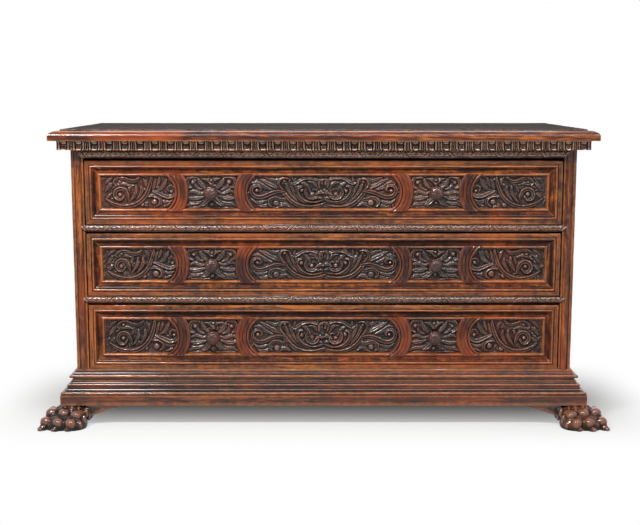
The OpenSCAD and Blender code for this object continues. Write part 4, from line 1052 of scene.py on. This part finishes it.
# takes away the faces in the holes and pulls the torn edge onto the holes' outlines
def cutHoles(drawer):
    def keyhole(piece):
        shape = bmesh.from_edit_mesh(piece.data)
        inside = []
        for face in shape.faces:
            centre = face.calc_center_median()
            if holeDistance(drawer, centre.x, centre.z) < 0:
                inside.append(face)
        bmesh.ops.delete(shape, geom=inside, context="FACES")
        tiny = 0.05 * mm
        for vert in shape.verts:
            x, z = vert.co.x, vert.co.z
            away = holeDistance(drawer, x, z)
            if vert.is_boundary and abs(away) < 1.5 * mm:
                slopeX = (holeDistance(drawer, x + tiny, z) - away) / tiny
                slopeZ = (holeDistance(drawer, x, z + tiny) - away) / tiny
                vert.co.x -= away * slopeX
                vert.co.z -= away * slopeZ
        bmesh.update_edit_mesh(piece.data)
    return keyhole


def makeFronts():
    for seed, (drawer, spot) in enumerate(drawers.items()):
        node = drawer + "_drawer_front"
        board = copyNode(drawer + "Front", node, [((0, fieldY + 0.1 * mm, 0), (0, 1, 0))])
        markWearAndLight(board, keyholeShade(drawer, points(board)))
        inset = frameLook["width"] - 2 * mm
        carving = carvedSlab("carving", (inset - spot["half"], spot["half"] - inset),
                             (spot["low"] + inset, spot["high"] - inset), carvingLook["step"],
                             carvedFields(drawer, 60 + seed), 0.3 * mm, cutHoles(drawer))
        place = points(carving)
        wearAndLight = standOff(carving, place, facings(carving), 6) / (0.8 * mm)
        # higher relief is painted lighter and the low ground darker: wear and grime, with painted highlight
        # and shade
        wearAndLight += np.clip(-place[:, 1] / mm - 5.5, -1, 1) * 0.25
        markWearAndLight(carving, wearAndLight + keyholeShade(drawer, place))
        setPoints(carving, place + np.array([0, fieldY, 0]))
        piece = joined(drawer + "Front", [board, carving])
        fit(piece, carvedWalnut, drawer + "_drawer", node)


makeFronts()
print("drawer fronts carved")


# the mitred moulding round each front: flat band, bead in its quirks, hollow and inner bead
def frameOutline():
    look = frameLook
    thick, band, r, q = look["thick"], look["band"], look["beadR"], look["innerR"]
    deep, wide, width = look["quirkDeep"], look["quirkWide"], look["width"]
    bead = band + wide + r
    cove = bead + r + wide
    inner = width - q - 1.6 * mm
    turns = [math.radians(22.5 * k) for k in range(9)]
    outline = [(0, 0), (thick - 1.2 * mm, 0), (thick, 1.2 * mm), (thick, band - 0.4 * mm),
               (thick - 0.6 * mm, band), (thick - deep, band + 0.3 * mm), (thick - deep, band + wide)]
    outline += [(thick - r + 0.5 * mm + r * math.sin(t), bead - r * math.cos(t)) for t in turns]
    outline += [(thick - deep, cove - wide + 0.3 * mm), (thick - deep, cove),
                (thick - 2.5 * mm, cove + 0.4 * mm)]
    drop, span = thick - 9.2 * mm, inner - q - 1 * mm - cove
    outline += [(thick - 3 * mm - drop * math.sin(t / 2), cove + 1 * mm + span * (1 - math.cos(t / 2)))
                for t in turns]
    outline += [(6 * mm + q * math.sin(t), inner - q * math.cos(t)) for t in turns]
    return outline + [(3 * mm, width), (0, width)]


def makeFrames():
    outline = fine(frameOutline(), 2.4 * mm)
    for seed, (drawer, spot) in enumerate(drawers.items()):
        w, low, high = spot["half"], spot["low"], spot["high"]
        node = drawer + "_drawer_frame"
        lengths = []
        for z, up in ((low, 1), (high, -1)):
            run = mouldingRun("length", outline, (-w, fieldY, z), (0, -1, 0), (0, 0, up), (1, 0, 0), 2 * w,
                              5 * mm, [((-w, 0, z), (1, 0, -up)), ((w, 0, z), (-1, 0, -up))])
            run.data.materials.append(walnut["x"])
            lengths.append(run)
        for s in (-1, 1):
            run = mouldingRun("length", outline, (s * w, fieldY, low), (0, -1, 0), (-s, 0, 0), (0, 0, 1),
                              high - low, 4 * mm,
                              [((s * w, 0, low), (s, 0, 1)), ((s * w, 0, high), (s, 0, -1))])
            run.data.materials.append(walnut["z"])
            lengths.append(run)
        for k, run in enumerate(lengths):
            handWorn(run, 70 + 9 * seed + k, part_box(node), sway=0.3 * mm, nick=1.1 * mm, shadeSheenReach=1.6 * mm)
        piece = joined(drawer + "Frame", lengths)
        fit(piece, None, drawer + "_drawer", node)


makeFrames()
print("drawer mouldings made")


# the arched pieces: half rings with a bead inside, a groove, and a broad band with two lines
def archOutline():
    look = archLook
    r, wide, thick = look["radius"], look["width"], look["thick"]
    bead, high = 3.5 * mm, 3.6 * mm
    outline = [(r, 0)]
    for k in range(7):
        t = math.radians(30 * k)
        outline.append((r + bead * (1 - math.cos(t)), thick - 5 * mm + high * math.sin(t)))
    outline += [(r + 7.3 * mm, thick - 7.5 * mm), (r + 8.8 * mm, thick - 7.5 * mm)]
    band = wide - 11 * mm
    for k in range(25):
        share = k / 24
        line = min(abs(share - 0.3), abs(share - 0.62)) * band
        crown = 3.5 * mm * math.sin(math.pi * share) ** 0.6 - 1.3 * mm * math.exp(-(line / (0.8 * mm)) ** 2)
        outline.append((r + 9 * mm + band * share, thick - 3.5 * mm + crown))
    return outline + [(r + wide - 1 * mm, thick - 6 * mm), (r + wide, thick - 7 * mm), (r + wide, 0)]


def makeArches():
    outline = archOutline()
    for seed, (drawer, spot) in enumerate(drawers.items()):
        mid = spot["mid"]
        reach = (spot["high"] - spot["low"]) / 2 - frameLook["width"] + archLook["lap"]
        rings = []
        for s in (-1, 1):
            for centre, way in ((s * (archLook["middleEnd"] - archLook["radius"]), s),
                                (s * (archLook["sideEnd"] + archLook["radius"]), -s)):
                ring = startOutline("arch", [(centre, fieldY - t, mid - r) for r, t in outline])
                bpy.ops.mesh.edge_face_add()
                bpy.ops.mesh.spin(steps=72, angle=way * math.pi, center=(centre, fieldY, mid), axis=(0, 1, 0))
                for up in (-1, 1):
                    bisectAway((centre, fieldY, mid + up * reach), (0, 0, -up))
                closeUp(ring)
                handWorn(ring, 90 + len(rings) + 5 * seed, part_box(drawer + "_drawer_arches"),
                         sway=0.3 * mm, nick=0.9 * mm, shadeSheenReach=1.8 * mm)
                rings.append(ring)
        piece = joined(drawer + "Arches", rings)
        fit(piece, archWalnut, drawer + "_drawer", drawer + "_drawer_arches")


makeArches()
print("arches made")


# knobs: turned with a collar, a neck and a round head, whose face is cut as a small rosette
def makeKnobs():
    look = {"head": 43 * mm, "out": 42 * mm, "deep": 29 * mm, "neck": 17 * mm, "collar": 4 * mm,
            "pin": 12 * mm, "pinLong": 20 * mm, "petals": 4, "dots": 8, "dotRing": 12 * mm,
            "ring": 16.5 * mm}
    r, neck, pin, long = look["head"] / 2, look["neck"] / 2, look["pin"] / 2, look["pinLong"]
    middle, collar = look["out"] - look["deep"] / 2, neck + look["collar"]
    outline = [(0, -long), (pin - 1 * mm, -long), (pin, 1 * mm - long), (pin, 0.2 * mm),
               (collar - 0.6 * mm, 0.2 * mm), (collar, 0.8 * mm), (collar, 2.2 * mm),
               (collar - 0.8 * mm, 3 * mm), (neck + 1.4 * mm, 4.4 * mm), (neck + 0.4 * mm, 6 * mm),
               (neck, 8 * mm)]
    turns = [math.radians(-56 + 146 * k / 44) for k in range(45)]
    outline += [(max(r * math.cos(t), 0), middle + look["deep"] / 2 * math.sin(t)) for t in turns]
    first = startOutline("knob", [(a, -b, 0) for a, b in outline])
    pickEdges(first, lambda e: all(v.co.x < 0.00001 for v in e.verts))
    bpy.ops.mesh.delete(type="EDGE")
    bpy.ops.mesh.select_all(action="SELECT")
    bpy.ops.mesh.spin(steps=96, angle=2 * math.pi, center=(0, 0, 0), axis=(0, 1, 0))
    closeUp(first)
    place = points(first)
    x, z = place[:, 0], place[:, 2]
    rho, turn = np.hypot(x, z), np.arctan2(z, x)
    front = place[:, 1] < -middle
    # a ring, four lines across the middle, and a ring of dots
    cut = 1.3 * mm * np.exp(-((rho - look["ring"]) / (1.0 * mm)) ** 2)
    lines = np.abs(np.sin(turn * look["petals"] / 2)) * rho
    cut += 1.3 * mm * np.exp(-(lines / (1.1 * mm)) ** 2) * (rho < 8.5 * mm)
    nearDot = (turn / (2 * math.pi) * look["dots"] + 0.5) % 1 - 0.5
    dotAway = np.hypot(nearDot * 2 * math.pi / look["dots"] * rho, rho - look["dotRing"])
    cut += 1.6 * mm * np.exp(-(dotAway / (1.7 * mm)) ** 2)
    place[:, 1] += cut * front
    setPoints(first, place)
    count = 0
    for drawer, spot in drawers.items():
        for side, s in (("left", -1), ("right", 1)):
            node = drawer + "_drawer_knob_" + side
            piece = duplicated(drawer + "Knob" + side.capitalize(), first)
            own = turned(points(piece), 0, 2, 0.4 + count * 1.1)
            setPoints(piece, own + [s * knobX, fieldY, spot["mid"]])
            handWorn(piece, 120 + count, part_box(node), sway=0.25 * mm, nick=0.6 * mm, rounds=4,
                     full=0.4 * mm)
            fit(piece, knobWalnut, drawer + "_drawer", node)
            count += 1
    bpy.data.objects.remove(first)


makeKnobs()
print("knobs turned")


# lion paws: three toes, each with a knuckle, a pad and a claw, stand out of one solid mass, with folds
# of skin behind and the wing at the side; all in millimetres from the corner of the plinth, x outwards
# to the side, y to the front, as (x, y, z), (radius x, radius y, radius z), turn
pawLook = {
    "toes": [[(21, 6, 41), (33, 34, 21), (47, 57, 6)], [(-18, 19, 41), (-5, 47, 20), (7, 63, 6)],
             [(-56, 27, 39), (-43, 50, 20), (-31, 59, 6)]],
    "radii": [(17.5, 22, 15.5), (17, 20, 16), (8, 11, 6)], "splay": -28, "boxy": 0.8,
    "web": (12, 17, 11), "webDrop": 6,
    "mass": [((-28, -24, 34), (50, 46, 27), 0), ((-58, -50, 30), (34, 40, 31), 0),
             ((-4, 16, 12), (54, 48, 31), 0), ((-42, 18, 13), (42, 46, 32), 0),
             ((-30, -10, 46), (50, 34, 14), 0), ((14, -2, 24), (32, 40, 29), 0)],
    "folds": [((6, -12, 52), (7, 15, 8), -15), ((-14, -4, 54), (6, 14, 6.5), -5),
              ((-36, 3, 54), (6.5, 15, 6.5), 5), ((-56, 6, 53), (6, 14, 7), 10),
              ((-78, 6, 42), (7, 12, 15), 15), ((-82, -10, 36), (6, 11, 19), 20),
              ((-80, -28, 30), (7, 11, 23), 0), ((-74, 26, 24), (8, 13, 17), 20),
              ((27, -16, 42), (8, 16, 13), -25), ((-66, 44, 14), (8, 13, 13), 15)],
    "wing": [(-76, 61), (-195, 61), (-195, 59.6), (-170, 54), (-148, 48), (-120, 38), (-96, 30), (-76, 26)],
    "wingY": (-28, -6), "voxel": 1.7,
}


def makePaws():
    look = pawLook
    solids = [(place, size, look["splay"], look["boxy"])
              for toe in look["toes"] for place, size in zip(toe, look["radii"])]
    for toe in look["toes"]:
        for (ax, ay, az), (bx, by, bz) in zip(toe, toe[1:]):
            middle = ((ax + bx) / 2, (ay + by) / 2, (az + bz) / 2 - look["webDrop"])
            solids.append((middle, look["web"], look["splay"], 1))
    solids += [(place, size, turn, 1) for place, size, turn in look["mass"] + look["folds"]]
    balls = []
    for place, size, turn, boxy in solids:
        deselect()
        bpy.ops.mesh.primitive_uv_sphere_add(segments=32, ring_count=20, radius=1)
        ball = nameLast("ball")
        sphere = points(ball)
        setPoints(ball, np.sign(sphere) * np.abs(sphere) ** boxy)
        ball.scale = [r * mm for r in size]
        ball.location = [c * mm for c in place]
        ball.rotation_euler = (0, 0, math.radians(turn))
        bpy.ops.object.transform_apply(location=True, rotation=True, scale=True)
        balls.append(ball)
    front, back = [y * mm for y in look["wingY"]]
    wing = startOutline("wing", [(x * mm, front, z * mm) for x, z in look["wing"]])
    bpy.ops.mesh.edge_face_add()
    extrude((0, back - front, 0))
    closeUp(wing)
    paw = joined("paw", balls + [wing])
    remesh = paw.modifiers.new("blend", "REMESH")
    remesh.mode = "VOXEL"
    remesh.voxel_size = look["voxel"] * mm
    smooth = paw.modifiers.new("rub", "SMOOTH")
    smooth.factor, smooth.iterations = 0.5, 2
    for modifier in ("blend", "rub"):
        bpy.ops.object.modifier_apply(modifier=modifier)
    for side, s in (("left", -1), ("right", 1)):
        low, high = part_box("foot_front_" + side)
        piece = duplicated("footFront" + side.capitalize(), paw)
        own = points(piece)
        place = np.stack([s * (plinthHigh.x + own[:, 0]), plinthLow.y - own[:, 1], own[:, 2]], 1)
        setPoints(piece, place)
        closeUp(piece)
        facing = facings(piece)
        rise = softNoise(place, 22 * mm, 131 + s) * 0.8 * mm + softNoise(place, 7 * mm, 134) * 0.35 * mm
        place += facing * rise[:, None]
        setPoints(piece, np.clip(place, low, high))
        # knuckles painted paler and the creases between toes darker: wear and grime, and painted highlight
        # and shade
        stand = standOff(piece, place, facing, 36) / (1.3 * mm)
        markWearAndLight(piece, stand - np.clip(2.4 - own[:, 2] / (9 * mm), 0, 1.8))     # darker towards the floor
        fit(piece, pawWalnut, "carcass", "foot_front_" + side)
    bpy.data.objects.remove(paw)


makePaws()
print("paws carved")


# stage: pale floor that fades to the white behind, soft lamps, and the camera of the picture
def shownShare(tree):             # 1 for what the camera, a mirror or glass sees, else 0
    path = addNode(tree, "ShaderNodeLightPath")
    seen = path.outputs["Is Camera Ray"]
    for ray in ("Is Glossy Ray", "Is Transmission Ray"):
        seen = addNode(tree, "ShaderNodeMath", {"operation": "MAXIMUM"}, {
            0: seen, 1: path.outputs[ray]}).outputs[0]
    return seen


def makeStage():
    deselect()
    bpy.ops.mesh.primitive_plane_add(size=60, location=(0, 0, 0))
    floor = nameLast("floor")
    # the floor shows its colour where the shadow falls, up to the first distance in X and Y, and fades
    # to white at the second; lift is the share of white that it has even there
    look = {"colour": "#bfbfbe", "shadowX": (0.8, 1.1), "shadowY": (0.0, 0.56), "lift": 0.02}
    material, tree = newMaterial("paleFloor")
    coordinates = addNode(tree, "ShaderNodeTexCoord").outputs["Object"]
    spot = addNode(tree, "ShaderNodeSeparateXYZ", links={0: coordinates})
    near = []
    for axis in "XY":
        away = addNode(tree, "ShaderNodeMath", {"operation": "ABSOLUTE"}, {0: spot.outputs[axis]})
        start, end = look["shadow" + axis]
        near.append(addNode(tree, "ShaderNodeMapRange", {"interpolation_type": "SMOOTHSTEP"}, {
            0: away.outputs[0], 1: start, 2: end, 3: 1, 4: 0}).outputs[0])
    both = addNode(tree, "ShaderNodeMath", {"operation": "MULTIPLY"}, {0: near[0], 1: near[1]})
    far = addNode(tree, "ShaderNodeMapRange", links={
        0: both.outputs[0], 1: 0, 2: 1, 3: 1, 4: look["lift"]})
    share = addNode(tree, "ShaderNodeMath", {"operation": "MULTIPLY"}, {
        0: far.outputs[0], 1: shownShare(tree)})
    plain = addNode(tree, "ShaderNodeBsdfPrincipled", links={
        "Base Color": toLinear(look["colour"]), "Roughness": 0.6, "Specular IOR Level": 0.2})
    white = addNode(tree, "ShaderNodeEmission", links={0: (1, 1, 1, 1), 1: 1})
    mixed = addNode(tree, "ShaderNodeMixShader", links={
        0: share.outputs[0], 1: plain.outputs[0], 2: white.outputs[0]})
    addNode(tree, "ShaderNodeOutputMaterial", links={0: mixed.outputs[0]})
    floor.data.materials.append(material)

    look = {"light": 0.2, "shown": 1}
    world = bpy.data.worlds.new("studio")
    bpy.context.scene.world = world
    world.use_nodes = True
    tree = world.node_tree
    tree.nodes.clear()
    dim, white = [addNode(tree, "ShaderNodeBackground", links={0: (1, 1, 1, 1), 1: strength})
                  for strength in look.values()]
    mixed = addNode(tree, "ShaderNodeMixShader", links={
        0: shownShare(tree), 1: dim.outputs[0], 2: white.outputs[0]})
    addNode(tree, "ShaderNodeOutputWorld", links={0: mixed.outputs[0]})

    # place, aim, size and power of each lamp
    lamps = {"key": ((-1.1, -1.5, 2.3), (0, -0.25, 0.5), (0.5, 0.35), 48),
             "strip": ((0.0, -1.6, 2.4), (0, -0.3, 0.4), (3.2, 0.22), 74),
             "left": ((-2.0, -2.3, 1.6), (0, -0.2, 0.45), (0.9, 0.9), 5),
             "right": ((2.3, -2.6, 1.9), (0, -0.2, 0.45), (0.9, 0.9), 10),
             "behind": ((0, 2.4, 2.2), (0, 0.3, 0.45), (2.6, 1.0), 18)}
    for name, (place, aim, size, power) in lamps.items():
        turn = (Vector(aim) - Vector(place)).to_track_quat("-Z", "Y").to_euler()
        bpy.ops.object.light_add(type="AREA", location=place, rotation=turn)
        lamp = bpy.context.object
        lamp.name = name
        lamp.data.shape = "RECTANGLE"
        lamp.data.size, lamp.data.size_y = size
        lamp.data.energy = power

    look = {"place": (-0.011, -3.6085, 0.997), "pitch": 8.6, "lens": 64.1, "sensor": 36}
    bpy.ops.object.camera_add(location=look["place"], rotation=(math.radians(90 - look["pitch"]), 0, 0))
    camera = bpy.context.object
    camera.data.lens = look["lens"]
    camera.data.sensor_width = look["sensor"]
    bpy.context.scene.camera = camera
    bpy.context.scene.view_settings.view_transform = "Standard"


makeStage()
deselect()
